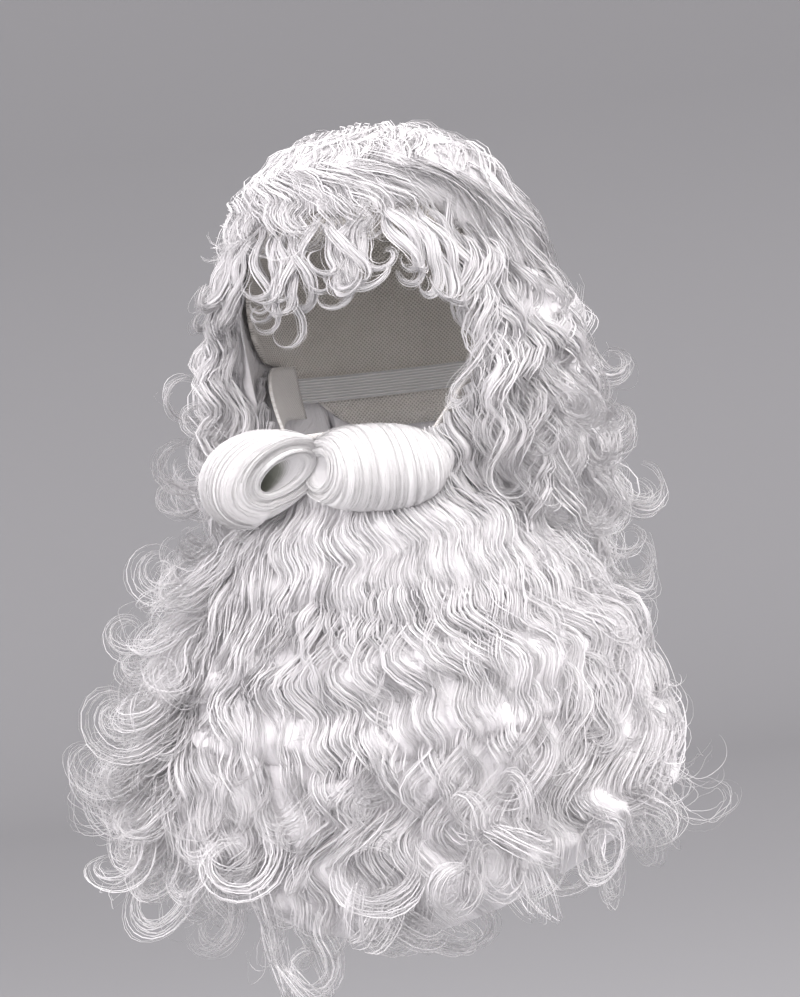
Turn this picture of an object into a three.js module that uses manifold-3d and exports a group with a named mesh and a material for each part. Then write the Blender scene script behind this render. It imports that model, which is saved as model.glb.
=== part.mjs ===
// A wig, beard and moustache of curled white hair, laid out as they are worn.
// Millimetres, +Z up, -Y the front. The origin is the inside of the wig's cap at the crown.
// Left and right are those of someone who looks at the front, so left is -X.
import * as THREE from "three";
import { mergeVertices } from "three/addons/utils/BufferGeometryUtils.js";
import Module from "manifold-3d";

const wasm = await Module();
wasm.setup();

// The head that the set fits
const HEAD_WIDTH = 156;
const HEAD_LENGTH = 198;
const CROWN_TO_TEMPLE = 104;
const HANG_DROP = 150;
const FIT_ROOM = 5.6;

// Wig
const CAP_WALL = 2;
const CAP_FOREHEAD_DROP = 58;
const CAP_EAR_DROP = 122;
const CAP_NAPE_DROP = 168;
const CROWN_HAIR = 15;
const CROWN_FRONT_DROP = 42;
const CROWN_EAR_DROP = 84;
const CROWN_NAPE_DROP = 98;
const CROWN_SCALLOP = 7;
const SEAT = 2.8;
const WEFT_WALL = 5;
const FRINGE_DROP = 92;
const SIDE_HAIR = 38;
const SIDE_DROP = 262;
const BACK_HAIR = 30;
const BACK_DROP = 286;

// Beard
const BASE_WALL = 1.6;
const BASE_CHIN_TOP = 204;
const BASE_CHIN_BOTTOM = 236;
const BASE_TEMPLE_TOP = 124;
const BASE_TEMPLE_BOTTOM = 158;
const STRAP_WIDTH = 16;
const STRAP_WALL = 1.2;
const STRAP_DROP = 140;
const BEARD_WIDTH = 344;
const BEARD_TOP = 200;
const BEARD_LENGTH = 282;
const BEARD_BACK = 84;
const BEARD_THICKNESS = 50;
const BEARD_WRAP = 62;
const BODY_SPREAD = 0.92;
const BODY_SHARE = 0.84;
const CHEEK_HAIR = 16;

// Moustache
const ROLL_RADIUS = 28;
const ROLL_HOLE = 9;
const ROLL_DROP = 193;
const ROLL_FRONT = 125;
const ROLL_SWEEP = 36;
const LIP_BASE_WALL = 1.6;
const LIP_BASE_HEIGHT = 18;
const LIP_BASE_DROP = 179;

// Locks
const LOCK_WIDTH = 30;
const LOCK_DEPTH = 17;
const CURL_RADIUS = 13;
const WAVE_LENGTH = 62;
const WAVE_SWING = 5;

// Room between neighbouring pieces
const GAP = 0.3;

const HAIR_COLOUR = 0xf1f1f4;
const NET_COLOUR = 0xe4e0da;
const ELASTIC_COLOUR = 0xf4f4f2;

const DEG = Math.PI / 180;
const { clamp, lerp, smoothstep } = THREE.MathUtils;

// Shares of the head's half width and half length, from the widest level down to under the chin.
const HEAD_SECTIONS = [
  { drop: 1.0, wide: 1.0, front: 0.97, back: 1.0 },
  { drop: 1.35, wide: 0.96, front: 0.96, back: 0.97 },
  { drop: 1.8, wide: 0.86, front: 0.96, back: 0.84 },
  { drop: 2.1, wide: 0.72, front: 0.92, back: 0.72 },
  { drop: 2.4, wide: 0.6, front: 0.84, back: 0.66 },
];

// Shares of the beard's half width, and how far its back and front stand out, from chin to tip.
const BEARD_SECTIONS = [
  { down: 0.0, half: 0.38, back: 1.15, thick: 0.35 },
  { down: 0.15, half: 0.6, back: 1.07, thick: 0.9 },
  { down: 0.35, half: 0.85, back: 1.0, thick: 1.2 },
  { down: 0.6, half: 1.0, back: 1.15, thick: 1.15 },
  { down: 0.85, half: 1.05, back: 1.32, thick: 0.9 },
  { down: 1.0, half: 1.0, back: 1.4, thick: 0.5 },
];

// The beard's three tiers: where each one's body and locks start and end, as shares of its length.
const TIERS = {
  upper: { from: 0.02, to: 0.24, locks: 6, root: 0.06, tip: 0.37, tuck: 0, curl: 1.0, seeds: 140 },
  middle: { from: 0.24, to: 0.53, locks: 7, root: 0.37, tip: 0.66, tuck: 0.4, curl: 1.1, seeds: 120 },
  lower: { from: 0.53, to: 0.92, locks: 9, root: 0.66, tip: 0.99, tuck: 0.4, curl: 1.3, seeds: 100 },
};

// The forehead's curls: where each is rooted, how far it drifts across, and which way its tip hooks.
const FRINGE_CURLS = [
  { turn: -46, drift: -5, width: 1.15, reach: 1.05, hook: 1, curl: 0.8 },
  { turn: -35, drift: -6, width: 1.1, reach: 0.98, hook: 1, curl: 0.9 },
  { turn: -23, drift: 5, width: 0.75, reach: 0.9, hook: -1, curl: 0.7 },
  { turn: -13, drift: 5, width: 0.7, reach: 1.04, hook: -1, curl: 0.6 },
  { turn: -3, drift: -3, width: 0.6, reach: 0.96, hook: 1, curl: 0.55 },
  { turn: 7, drift: 4, width: 0.7, reach: 0.9, hook: -1, curl: 0.7 },
  { turn: 18, drift: -4, width: 0.85, reach: 0.86, hook: 1, curl: 0.75 },
  { turn: 29, drift: 5, width: 0.85, reach: 0.9, hook: -1, curl: 0.7 },
  { turn: 41, drift: 6, width: 1.0, reach: 1.0, hook: -1, curl: 0.8 },
];

// The moustache's rolls: where each one's axis starts and ends beside the nose. slant is how much further in
// the hair starts over a roll than under it, and facing is the slope by which its open end turns to the front.
const ROLLS = {
  left: { side: -1, inner: 43, outer: 76, slant: 22, facing: 0.7, swell: 1.0 },
  right: { side: 1, inner: -5, outer: 55, slant: -3, facing: 0.95, swell: 0.95 },
};

// A steady number from -1 to 1 for each pair of counts, so that no two locks are alike.
function variation(index, kind) {
  const swing = Math.sin(index * 127.1 + kind * 311.7) * 43758.5453;
  return 2 * (swing - Math.floor(swing)) - 1;
}

// The named columns of a table of sections at one place along it.
function between(sections, key, at) {
  const last = sections.length - 1;
  const next = sections.findIndex((row) => row[key] >= at);
  if (next === 0) return sections[0];
  if (next < 0) return sections[last];
  const [above, below] = [sections[next - 1], sections[next]];
  const share = (at - above[key]) / (below[key] - above[key]);
  const mixed = {};
  for (const name of Object.keys(above)) mixed[name] = lerp(above[name], below[name], share);
  return mixed;
}

// How wide and long the head is at a depth below the crown, as shares of its half width and length.
function headShares(drop) {
  if (drop >= CROWN_TO_TEMPLE) return between(HEAD_SECTIONS, "drop", drop / CROWN_TO_TEMPLE);
  const height = Math.max(0, (CROWN_TO_TEMPLE - drop) / CROWN_TO_TEMPLE);
  const round = Math.pow(1 - Math.pow(height, 2.3), 1 / 2.3);
  const front = round * lerp(1, HEAD_SECTIONS[0].front, 1 - height);
  return { wide: round, front, back: round };
}

// A point over the skin. turn runs from the front towards +X, and rise stands out from the skin.
function overSkin(turn, drop, rise) {
  const shares = headShares(drop);
  const [sin, cos] = [Math.sin(turn * DEG), Math.cos(turn * DEG)];
  const length = cos > 0 ? shares.front : shares.back;
  const point = new THREE.Vector3(
    (HEAD_WIDTH / 2) * shares.wide * sin,
    (-HEAD_LENGTH / 2) * length * cos,
    -drop,
  );
  return point.addScaledVector(skinNormal(turn, drop), rise);
}

// The way out from the skin: level at the temples and below, and up at the crown.
function skinNormal(turn, drop) {
  const height = Math.max(0, (CROWN_TO_TEMPLE - drop) / CROWN_TO_TEMPLE);
  const level = Math.sqrt(1 - height * height);
  const across = Math.sin(turn * DEG) / HEAD_WIDTH;
  const along = -Math.cos(turn * DEG) / HEAD_LENGTH;
  const flat = new THREE.Vector2(across, along).normalize().multiplyScalar(level);
  return new THREE.Vector3(flat.x, flat.y, height);
}

// A point over the wig's cap, which rests on the crown and hangs straight down from the ears' level.
function overCap(turn, drop, rise) {
  const point = overSkin(turn, Math.min(drop, HANG_DROP), FIT_ROOM + rise);
  point.z -= FIT_ROOM * Math.max(0, 1 - drop / CROWN_TO_TEMPLE);
  point.z -= Math.max(0, drop - HANG_DROP);
  return point;
}

// A depth that changes smoothly from the forehead over the ears to the nape.
function rimDrop(turn, front, ear, nape) {
  const cos = Math.cos(turn * DEG);
  if (cos > 0) return lerp(ear, front, smoothstep(cos, 0.05, 0.75));
  return lerp(ear, nape, smoothstep(-cos, 0, 0.8));
}

const capRim = (turn) => rimDrop(turn, CAP_FOREHEAD_DROP, CAP_EAR_DROP, CAP_NAPE_DROP);
const crownRim = (turn) => rimDrop(turn, CROWN_FRONT_DROP, CROWN_EAR_DROP, CROWN_NAPE_DROP);

// The jaw cloth's edges, from the chin round to the temples.
const jawShare = (turn) => smoothstep(Math.abs(turn), 14, 84);
const jawTop = (turn) => lerp(BASE_CHIN_TOP, BASE_TEMPLE_TOP, jawShare(turn));
const jawBottom = (turn) => lerp(BASE_CHIN_BOTTOM, BASE_TEMPLE_BOTTOM, jawShare(turn));

// A point over the beard's back. across is -1 to 1, and down is 0 at the chin and 1 at the tips.
function overBeard(across, down, rise) {
  const row = between(BEARD_SECTIONS, "down", down);
  const half = (row.half * BEARD_WIDTH) / 2;
  const out = new THREE.Vector3((2 * BEARD_WRAP * across) / half, -1, 0).normalize();
  return new THREE.Vector3(
    across * half,
    -BEARD_BACK * row.back + BEARD_WRAP * across * across,
    -BEARD_TOP - down * BEARD_LENGTH,
  ).addScaledVector(out, rise);
}

// How far the hair stands out from the beard's back, which thins to its sides.
function beardRise(across, down) {
  const row = between(BEARD_SECTIONS, "down", down);
  return BEARD_THICKNESS * row.thick * Math.sqrt(1 - 0.85 * across * across);
}

// The tiers' ends rise towards the sides, so the beard ends in a round.
const roundEnd = (across, down) => down * (1 - 0.3 * across * across);

// A closed solid from a row of rings, each with as many points, with its two ends filled.
function loft(rings) {
  const count = rings[0].length;
  const points = rings.flat();
  const faces = [];
  for (let r = 0; r < rings.length - 1; r++) {
    for (let k = 0; k < count; k++) {
      const [a, b] = [r * count + k, r * count + ((k + 1) % count)];
      faces.push([a, b, b + count], [a, b + count, a + count]);
    }
  }
  faces.push(...filled(0, count));
  faces.push(...filled((rings.length - 1) * count, count).map((face) => face.reverse()));
  return solidFrom(points, faces);
}

// Faces across one ring of points, from its first point and its last towards each other.
function filled(start, count) {
  const faces = [];
  for (let k = 0; k < count / 2 - 1; k++) {
    const [a, b] = [start + k, start + k + 1];
    const [c, d] = [start + count - 1 - k, start + count - 2 - k];
    faces.push([a, c, b]);
    if (b !== d) faces.push([b, c, d]);
  }
  return faces;
}

// A manifold solid from points and faces, turned to face out.
function solidFrom(points, faces) {
  let volume = 0;
  for (const [a, b, c] of faces) {
    volume += points[a].dot(new THREE.Vector3().crossVectors(points[b], points[c]));
  }
  const outward = volume < 0 ? faces.map(([a, b, c]) => [a, c, b]) : faces;
  const vertProperties = new Float32Array(points.flatMap((point) => point.toArray()));
  const triVerts = new Uint32Array(outward.flat());
  return new wasm.Manifold(new wasm.Mesh({ numProp: 3, vertProperties, triVerts }));
}

// Directions along, across and out of a path, carried along it without twist.
function framesAlong(path, out) {
  let normal = out;
  return path.map((_, i) => {
    const before = path[Math.max(0, i - 1)];
    const after = path[Math.min(path.length - 1, i + 1)];
    const along = new THREE.Vector3().subVectors(after, before).normalize();
    normal = normal.clone().addScaledVector(along, -normal.dot(along)).normalize();
    return { along, normal, across: new THREE.Vector3().crossVectors(along, normal) };
  });
}

// A lock of hair: a flat section that swells from its root, tapers to its tip and turns to face its curl.
// grow makes it larger all round, for the room that a neighbour leaves it.
function lock({ path, out, width, depth, lean }, grow) {
  const SIDES = 3;
  const CORNER = 0.6;
  const last = path.length - 1;
  const frames = framesAlong(path, out);
  const rings = path.map((point, i) => {
    const { along, across, normal } = frames[i];
    const past = i === 0 ? -grow : i === last ? grow : 0;
    const turned = lean * DEG * smoothstep(i / last, 0.2, 0.62);
    const [sin, cos] = [Math.sin(turned), Math.cos(turned)];
    const facing = normal.clone().multiplyScalar(cos).addScaledVector(across, -sin);
    const broad = across.clone().multiplyScalar(cos).addScaledVector(normal, sin);
    const full = 0.3 + 0.7 * Math.pow(Math.sin(Math.PI * (0.22 + (0.66 * i) / last)), 0.8);
    return Array.from({ length: SIDES }, (_, k) => {
      const angle = 2 * Math.PI * (k / SIDES + 0.25);
      return point
        .clone()
        .addScaledVector(along, past)
        .addScaledVector(broad, Math.cos(angle) * (full * width * CORNER + 2 * grow))
        .addScaledVector(facing, Math.sin(angle) * (full * depth * CORNER + 2 * grow));
    });
  });
  return loft(rings);
}

// The path of a lock over a surface: waves on its way down, then a curl at its tip.
// place(share) gives the point and the ways out and across, at a share of the way to the curl.
function lockPath({ place, steps, length, swing, phase, twist, curl, turns, lean }) {
  const CURL_STEPS = 4;
  const path = [];
  for (let i = 0; i < steps; i++) {
    const share = i / (steps - 1);
    const { point, out, across } = place(share);
    const angle = 2 * Math.PI * ((length * share) / WAVE_LENGTH + phase);
    const amount = swing * Math.min(1, 0.3 + 2 * share);
    point.addScaledVector(across, amount * Math.sin(angle));
    path.push(point.addScaledVector(out, amount * twist * Math.cos(angle)));
  }
  const { out, across } = place(1);
  const end = path[path.length - 1];
  const along = new THREE.Vector3().subVectors(end, path[path.length - 2]).normalize();
  const towards = out.clone().multiplyScalar(Math.cos(lean * DEG));
  towards.addScaledVector(across, Math.sin(lean * DEG));
  towards.addScaledVector(along, -towards.dot(along)).normalize();
  const aside = new THREE.Vector3().crossVectors(along, towards);
  for (let i = 1; i <= CURL_STEPS; i++) {
    const share = i / CURL_STEPS;
    const angle = 2 * Math.PI * turns * share;
    const radius = curl * (1 - 0.25 * share);
    path.push(
      end
        .clone()
        .addScaledVector(towards, curl - radius * Math.cos(angle))
        .addScaledVector(along, radius * Math.sin(angle))
        .addScaledVector(aside, 0.5 * curl * share),
    );
  }
  return path;
}

// The level way across, for a way out.
const levelAcross = (out) => new THREE.Vector3(-out.y, out.x, 0).normalize();

// A lock on the wig, from one depth below the crown to another.
function wigLock({ turn, drift, from, to, full, width, depth, seed, curl, turns, lean }) {
  const place = (share) => {
    const at = turn + drift * share;
    const out = skinNormal(at, CROWN_TO_TEMPLE);
    const swell = Math.pow(Math.sin((share * Math.PI) / 2), 0.5);
    const rise = CAP_WALL + SEAT + WEFT_WALL + 2 + full * swell;
    return { point: overCap(at, lerp(from, to, share), rise), out, across: levelAcross(out) };
  };
  const path = lockPath({
    place,
    steps: 2 + Math.round((2 * (to - from)) / WAVE_LENGTH),
    length: to - from,
    swing: WAVE_SWING,
    phase: 0.5 * variation(seed, 1),
    twist: 0.6,
    curl,
    turns,
    lean,
  });
  return { path, out: place(0).out, width, depth, lean };
}

// A panel of cloth or stitched hair between two edges, with its section's height split in two.
function panel({ turns, top, bottom, surface, inside, outside, columns }, grow) {
  const past = (Math.sign(turns[1] - turns[0]) * grow) / ((HEAD_WIDTH / 2) * DEG);
  const rings = Array.from({ length: columns + 1 }, (_, i) => {
    const turn = lerp(turns[0] - past, turns[1] + past, i / columns);
    const [high, low] = [top(turn) - grow, bottom(turn) + grow];
    const levels = [high, (high + low) / 2, low];
    return [
      ...levels.map((drop) => surface(turn, drop, outside + grow)),
      ...levels.reverse().map((drop) => surface(turn, drop, inside - grow)),
    ];
  });
  return loft(rings);
}

// The stitched roots of the hair on the wig, from under the crown's hair down.
function wigWeft(turns, depth, columns, grow) {
  const root = CAP_WALL + SEAT;
  const top = (turn) => crownRim(turn) + CROWN_SCALLOP + 1;
  const bottom = (turn) => top(turn) + depth;
  return panel(
    { turns, top, bottom, surface: overCap, inside: root, outside: root + WEFT_WALL, columns },
    grow,
  );
}

// Locks and what they are sewn to, as one solid.
function fused(backing, specs, grow) {
  return wasm.Manifold.union([backing, ...specs.map((spec) => lock(spec, grow))]);
}

// A solid with its neighbours' room taken out of it, without the crumbs that such a cut leaves.
function trimmed(solid, neighbours) {
  const cut = neighbours.reduce((rest, other) => rest.subtract(other), solid);
  return cut.decompose().sort((a, b) => b.volume() - a.volume())[0];
}

// A thin or thick dome over the head, with its rim open.
function dome({ columns, rows, point, inside, outside }) {
  const ring = (row, rise) =>
    Array.from({ length: columns }, (_, column) => point(column, (row + 0.2) / (rows + 0.2), rise));
  const order = Array.from({ length: rows + 1 }, (_, row) => row);
  return loft([
    ...order.map((row) => ring(row, outside)),
    ...order.reverse().map((row) => ring(row, inside)),
  ]);
}

function wigCap(grow) {
  const COLUMNS = 24;
  const point = (column, share, rise) => {
    const turn = (360 * column) / COLUMNS;
    return overCap(turn, (capRim(turn) + grow) * Math.pow(share, 2), rise);
  };
  return dome({ columns: COLUMNS, rows: 6, point, inside: -grow, outside: CAP_WALL + grow });
}

// Hair combed from the crown down all round, in ridges that end in scallops.
function wigCrown(grow) {
  const RIDGES = 14;
  const root = CAP_WALL + SEAT;
  const point = (column, share, rise) => {
    const ridge = column % 2;
    const turn = (180 * column) / RIDGES + 14 * Math.sin(2.2 * Math.PI * share);
    const edge = crownRim(turn) + grow + CROWN_SCALLOP * ridge * smoothstep(share, 0.6, 1);
    const groove = 0.26 * CROWN_HAIR * (1 - ridge) * smoothstep(share, 0.05, 0.35);
    const height = rise > root ? rise - groove : rise;
    return overCap(turn, edge * share * share, height);
  };
  const outside = root + CROWN_HAIR + grow;
  return dome({ columns: 2 * RIDGES, rows: 5, point, inside: root - grow, outside });
}

function wigFringe(grow) {
  const specs = FRINGE_CURLS.map(({ turn, drift, width, reach, hook, curl }, seed) =>
    wigLock({
      turn,
      drift: drift * 1.6,
      from: crownRim(turn) + CROWN_SCALLOP + 6,
      to: FRINGE_DROP * reach - 8,
      full: 7,
      width: LOCK_WIDTH * 0.62 * width,
      depth: LOCK_DEPTH * 0.5,
      seed,
      curl: CURL_RADIUS * 0.62,
      turns: curl,
      lean: 65 * hook,
    }),
  );
  return fused(wigWeft([-54, 54], 14, 8, grow), specs, grow);
}

// A row of the wig's locks, each one's place and length varied a little.
function wigRow({ count, turns, start, reach, full, drift, lean, thick, seeds }) {
  return Array.from({ length: count }, (_, i) => {
    const share = i / (count - 1);
    const turn = lerp(turns[0], turns[1], share);
    return wigLock({
      turn,
      drift: drift(share),
      from: crownRim(turn) + CROWN_SCALLOP + start,
      to: reach * (0.96 + 0.05 * variation(seeds + i, 4)),
      full: full(share),
      width: LOCK_WIDTH * thick,
      depth: LOCK_DEPTH * Math.min(thick, 1.15),
      seed: seeds + i,
      curl: CURL_RADIUS * (1 + 0.15 * variation(seeds + i, 5)),
      turns: 0.65,
      lean: lean(share),
    });
  });
}

// Hair over an ear: an upper row of curls that frames the face, and a lower one to the shoulder.
function wigSide(side, grow) {
  const seeds = side > 0 ? 20 : 40;
  const upper = wigRow({
    count: 3,
    turns: [60 * side, 106 * side],
    start: 8,
    reach: SIDE_DROP * 0.68,
    full: (share) => SIDE_HAIR * lerp(0.3, 0.7, Math.min(1, 1.6 * share)),
    drift: (share) => side * lerp(-2, 4, share),
    lean: (share) => side * lerp(20, -40, share),
    thick: 1,
    seeds,
  });
  const lower = wigRow({
    count: 4,
    turns: [74 * side, 114 * side],
    start: 26,
    reach: SIDE_DROP * 0.94,
    full: () => SIDE_HAIR,
    drift: (share) => side * lerp(-6, 3, share),
    lean: (share) => side * lerp(30, -30, share),
    thick: 1.15,
    seeds: seeds + 5,
  });
  return fused(wigWeft([56 * side, 122 * side], 38, 6, grow), [...upper, ...lower], grow);
}

// Hair over the back of the head and the nape.
function wigBack(grow) {
  const upper = wigRow({
    count: 4,
    turns: [142, 218],
    start: 8,
    reach: BACK_DROP * 0.68,
    full: () => BACK_HAIR * 0.6,
    drift: (share) => 6 * (share - 0.5),
    lean: (share) => 80 * (share - 0.5),
    thick: 1.5,
    seeds: 60,
  });
  const lower = wigRow({
    count: 4,
    turns: [138, 222],
    start: 40,
    reach: BACK_DROP * 0.95,
    full: () => BACK_HAIR,
    drift: (share) => 4 * (share - 0.5),
    lean: (share) => 80 * (0.5 - share),
    thick: 1.6,
    seeds: 70,
  });
  return fused(wigWeft([126, 234], 66, 8, grow), [...upper, ...lower], grow);
}

// The cloth that the beard is sewn to, round the jaw from temple to temple.
function beardBase(grow) {
  return panel(
    {
      turns: [-100, 100],
      top: jawTop,
      bottom: jawBottom,
      surface: overSkin,
      inside: 0,
      outside: BASE_WALL,
      columns: 20,
    },
    grow,
  );
}

// The elastic that runs from temple to temple round the back of the head, over the base's ends.
function beardStrap(grow) {
  const inside = BASE_WALL + 1.2 * GAP;
  return panel(
    {
      turns: [90, 270],
      top: () => STRAP_DROP - STRAP_WIDTH / 2,
      bottom: () => STRAP_DROP + STRAP_WIDTH / 2,
      surface: overSkin,
      inside,
      outside: inside + STRAP_WALL,
      columns: 18,
    },
    grow,
  );
}

// One tier of the beard: a body of hair that tucks under the tier above, and its row of locks.
function beardTier({ from, to, locks, root, tip, tuck, curl, seeds }, grow) {
  const COLUMNS = 8;
  const ROWS = 3;
  const past = grow / BEARD_LENGTH;
  const front = (across, down) => {
    const under = tuck * (1 - smoothstep(down, from, from + 0.2));
    return beardRise(across, down) * (BODY_SHARE - under);
  };
  const rings = Array.from({ length: ROWS + 1 }, (_, j) => {
    const down = lerp(from + (2 * GAP) / BEARD_LENGTH - past, to + past, j / ROWS);
    const row = (height) =>
      Array.from({ length: COLUMNS + 1 }, (_, i) => {
        const across = (BODY_SPREAD + past) * lerp(-1, 1, i / COLUMNS);
        return overBeard(across, roundEnd(across, down), height(across, down));
      });
    return [
      ...row((across, at) => front(across, at) + grow),
      ...row((across, at) => 0.06 * beardRise(across, at) - grow).reverse(),
    ];
  });
  const specs = Array.from({ length: locks }, (_, i) => {
    const across = 0.95 * BODY_SPREAD * lerp(-1, 1, i / (locks - 1));
    const start = roundEnd(across, root);
    const end = roundEnd(across, tip) + 0.03 * variation(seeds + i, 8);
    const place = (share) => {
      const down = lerp(start, end, share);
      const rise = front(across, Math.max(down, root)) + LOCK_DEPTH * 0.2;
      const out = new THREE.Vector3().subVectors(overBeard(across, down, 1), overBeard(across, down, 0));
      return { point: overBeard(across, down, rise), out, across: levelAcross(out) };
    };
    const lean = 75 * clamp(2 * across + 0.7 * variation(seeds + i, 9), -1, 1);
    const path = lockPath({
      place,
      steps: 5,
      length: (end - start) * BEARD_LENGTH,
      swing: WAVE_SWING,
      phase: (start * BEARD_LENGTH) / WAVE_LENGTH + 0.12 * variation(seeds + i, 2),
      twist: 0.5,
      curl: CURL_RADIUS * (curl + 0.25 * variation(seeds + i, 10)),
      turns: 0.55 + 0.1 * variation(seeds + i, 3),
      lean,
    });
    return { path, out: place(0).out, width: LOCK_WIDTH * 1.35, depth: LOCK_DEPTH, lean };
  });
  return fused(loft(rings), specs, grow);
}

// Hair on a cheek, from the jaw cloth down beside the moustache.
function beardCheek(side, grow) {
  const COUNT = 3;
  const lean = side * 60;
  const root = BASE_WALL + GAP;
  const seeds = side > 0 ? 160 : 170;
  const weft = panel(
    {
      turns: [40 * side, 86 * side],
      top: (turn) => jawTop(turn) + 2,
      bottom: (turn) => jawBottom(turn) - 2,
      surface: overSkin,
      inside: root,
      outside: root + WEFT_WALL,
      columns: 5,
    },
    grow,
  );
  const specs = Array.from({ length: COUNT }, (_, i) => {
    const share = i / (COUNT - 1);
    const turn = side * lerp(42, 68, share);
    const start = jawTop(turn) + 6;
    const out = skinNormal(turn, CROWN_TO_TEMPLE);
    const place = (at) => {
      const drop = start + at * lerp(34, 62, share);
      const rise = root + WEFT_WALL + CHEEK_HAIR * Math.sin((at * Math.PI) / 2);
      const point = overSkin(turn, Math.min(drop, BASE_CHIN_TOP), rise);
      point.z -= Math.max(0, drop - BASE_CHIN_TOP);
      return { point, out, across: levelAcross(out) };
    };
    const path = lockPath({
      place,
      steps: 3,
      length: 48,
      swing: WAVE_SWING * 0.6,
      phase: 0.3 * variation(seeds + i, 1),
      twist: 0.6,
      curl: CURL_RADIUS * 0.8,
      turns: 0.5,
      lean,
    });
    return { path, out, width: LOCK_WIDTH * 1.1, depth: LOCK_DEPTH, lean };
  });
  return fused(weft, specs, grow);
}

// One roll of the moustache: hair combed from under the nose and rolled up, open at its inner end.
function moustacheRoll({ side, inner, outer, slant, facing, swell }, grow) {
  const SIDES = 14;
  const middle = lerp(inner, outer, 0.6);
  const axis = new THREE.QuadraticBezierCurve3(
    new THREE.Vector3(side * inner, -ROLL_FRONT, -ROLL_DROP),
    new THREE.Vector3(side * middle, -ROLL_FRONT + 4, -ROLL_DROP - 1),
    new THREE.Vector3(side * outer, -ROLL_FRONT + ROLL_SWEEP, -ROLL_DROP - 5),
  );
  const ring = ({ along, round }, radius) => {
    const centre = axis.getPoint(along);
    const tangent = axis.getTangent(along);
    const level = new THREE.Vector3(tangent.y, -tangent.x, 0).normalize().multiplyScalar(side);
    const up = new THREE.Vector3(0, 0, 1);
    return Array.from({ length: SIDES }, (_, k) => {
      const angle = (2 * Math.PI * k) / SIDES;
      const turned = facing * Math.pow(1 - along, 2) * Math.cos(angle) * radius(angle) * round;
      const inwards = slant * (1 - along) * 0.5 * (1 + Math.sin(angle)) - turned;
      return centre
        .clone()
        .addScaledVector(level, Math.cos(angle) * (radius(angle) * round + grow))
        .addScaledVector(up, Math.sin(angle) * (radius(angle) * round + grow))
        .addScaledVector(tangent, -inwards - grow * (along === 0) + grow * (along === 1));
    });
  };
  const wound = (angle) => ROLL_RADIUS * swell * (1 - 0.1 * ((angle / (2 * Math.PI) + 0.25) % 1));
  const outside = [
    { along: 0.0, round: 0.78 },
    { along: 0.22, round: 0.98 },
    { along: 0.55, round: 1.0 },
    { along: 0.82, round: 0.86 },
    { along: 1.0, round: 0.5 },
  ].map((station) => ring(station, wound));
  if (grow > 0) return loft(outside);
  const inside = [
    { along: 0.5, round: 0.5 },
    { along: 0.3, round: 0.85 },
    { along: 0.0, round: 1.0 },
  ].map((station) => ring(station, () => ROLL_HOLE));
  return loft([...inside, ...outside]);
}

// The strip over the upper lip that both rolls are sewn to.
function moustacheBase(grow) {
  const inside = BASE_WALL + GAP;
  return panel(
    {
      turns: [-38, 38],
      top: () => LIP_BASE_DROP - LIP_BASE_HEIGHT / 2,
      bottom: () => LIP_BASE_DROP + LIP_BASE_HEIGHT / 2,
      surface: overSkin,
      inside,
      outside: inside + LIP_BASE_WALL,
      columns: 8,
    },
    grow,
  );
}

// The geometry of a finished solid, for a mesh.
function geometryOf(solid) {
  const { vertProperties, triVerts } = solid.getMesh();
  const geometry = new THREE.BufferGeometry();
  geometry.setAttribute("position", new THREE.BufferAttribute(new Float32Array(vertProperties), 3));
  geometry.setIndex(new THREE.BufferAttribute(new Uint32Array(triVerts), 1));
  const merged = mergeVertices(geometry, 1e-3);
  merged.computeVertexNormals();
  return merged;
}

const hair = new THREE.MeshStandardMaterial({ color: HAIR_COLOUR, roughness: 0.42, metalness: 0 });
const net = new THREE.MeshStandardMaterial({ color: NET_COLOUR, roughness: 0.85, metalness: 0 });
const elastic = new THREE.MeshStandardMaterial({ color: ELASTIC_COLOUR, roughness: 0.7, metalness: 0 });

// Each piece keeps clear of those before it in this list.
const pieces = [
  { name: "wig_cap", make: wigCap, material: net },
  { name: "beard_base", make: beardBase, material: net },
  { name: "beard_strap", make: beardStrap, material: elastic },
  { name: "moustache_base", make: moustacheBase, material: net },
  { name: "wig_crown", make: wigCrown, material: hair },
  { name: "moustache_left_roll", make: (grow) => moustacheRoll(ROLLS.left, grow), material: hair },
  { name: "moustache_right_roll", make: (grow) => moustacheRoll(ROLLS.right, grow), material: hair },
  { name: "wig_fringe", make: wigFringe, material: hair },
  { name: "wig_side_left", make: (grow) => wigSide(-1, grow), material: hair },
  { name: "wig_side_right", make: (grow) => wigSide(1, grow), material: hair },
  { name: "wig_back", make: wigBack, material: hair },
  { name: "beard_cheek_left", make: (grow) => beardCheek(-1, grow), material: hair },
  { name: "beard_cheek_right", make: (grow) => beardCheek(1, grow), material: hair },
  { name: "beard_upper_tier", make: (grow) => beardTier(TIERS.upper, grow), material: hair },
  { name: "beard_middle_tier", make: (grow) => beardTier(TIERS.middle, grow), material: hair },
  { name: "beard_lower_tier", make: (grow) => beardTier(TIERS.lower, grow), material: hair },
];

const group = new THREE.Group();
const taken = [];
for (const { name, make, material } of pieces) {
  const whole = make(0);
  const mesh = new THREE.Mesh(geometryOf(trimmed(whole, taken)), material);
  mesh.name = name;
  group.add(mesh);
  taken.push(whole.add(make(GAP)));
}

export default group;
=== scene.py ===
# %% [markdown]
# A wig, beard and moustache of curled white hair.
# The real set is synthetic hair sewn in rows to a net cap, a jaw cloth and a strip of cloth over the lip.
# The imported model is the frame: it says where each piece sits and how large it is.
# Everything made here is fitted to it, in metres, and nothing in it is moved.

# %% Load the frame
import math

import bpy
import numpy as np
from mathutils import Matrix, Vector


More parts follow.
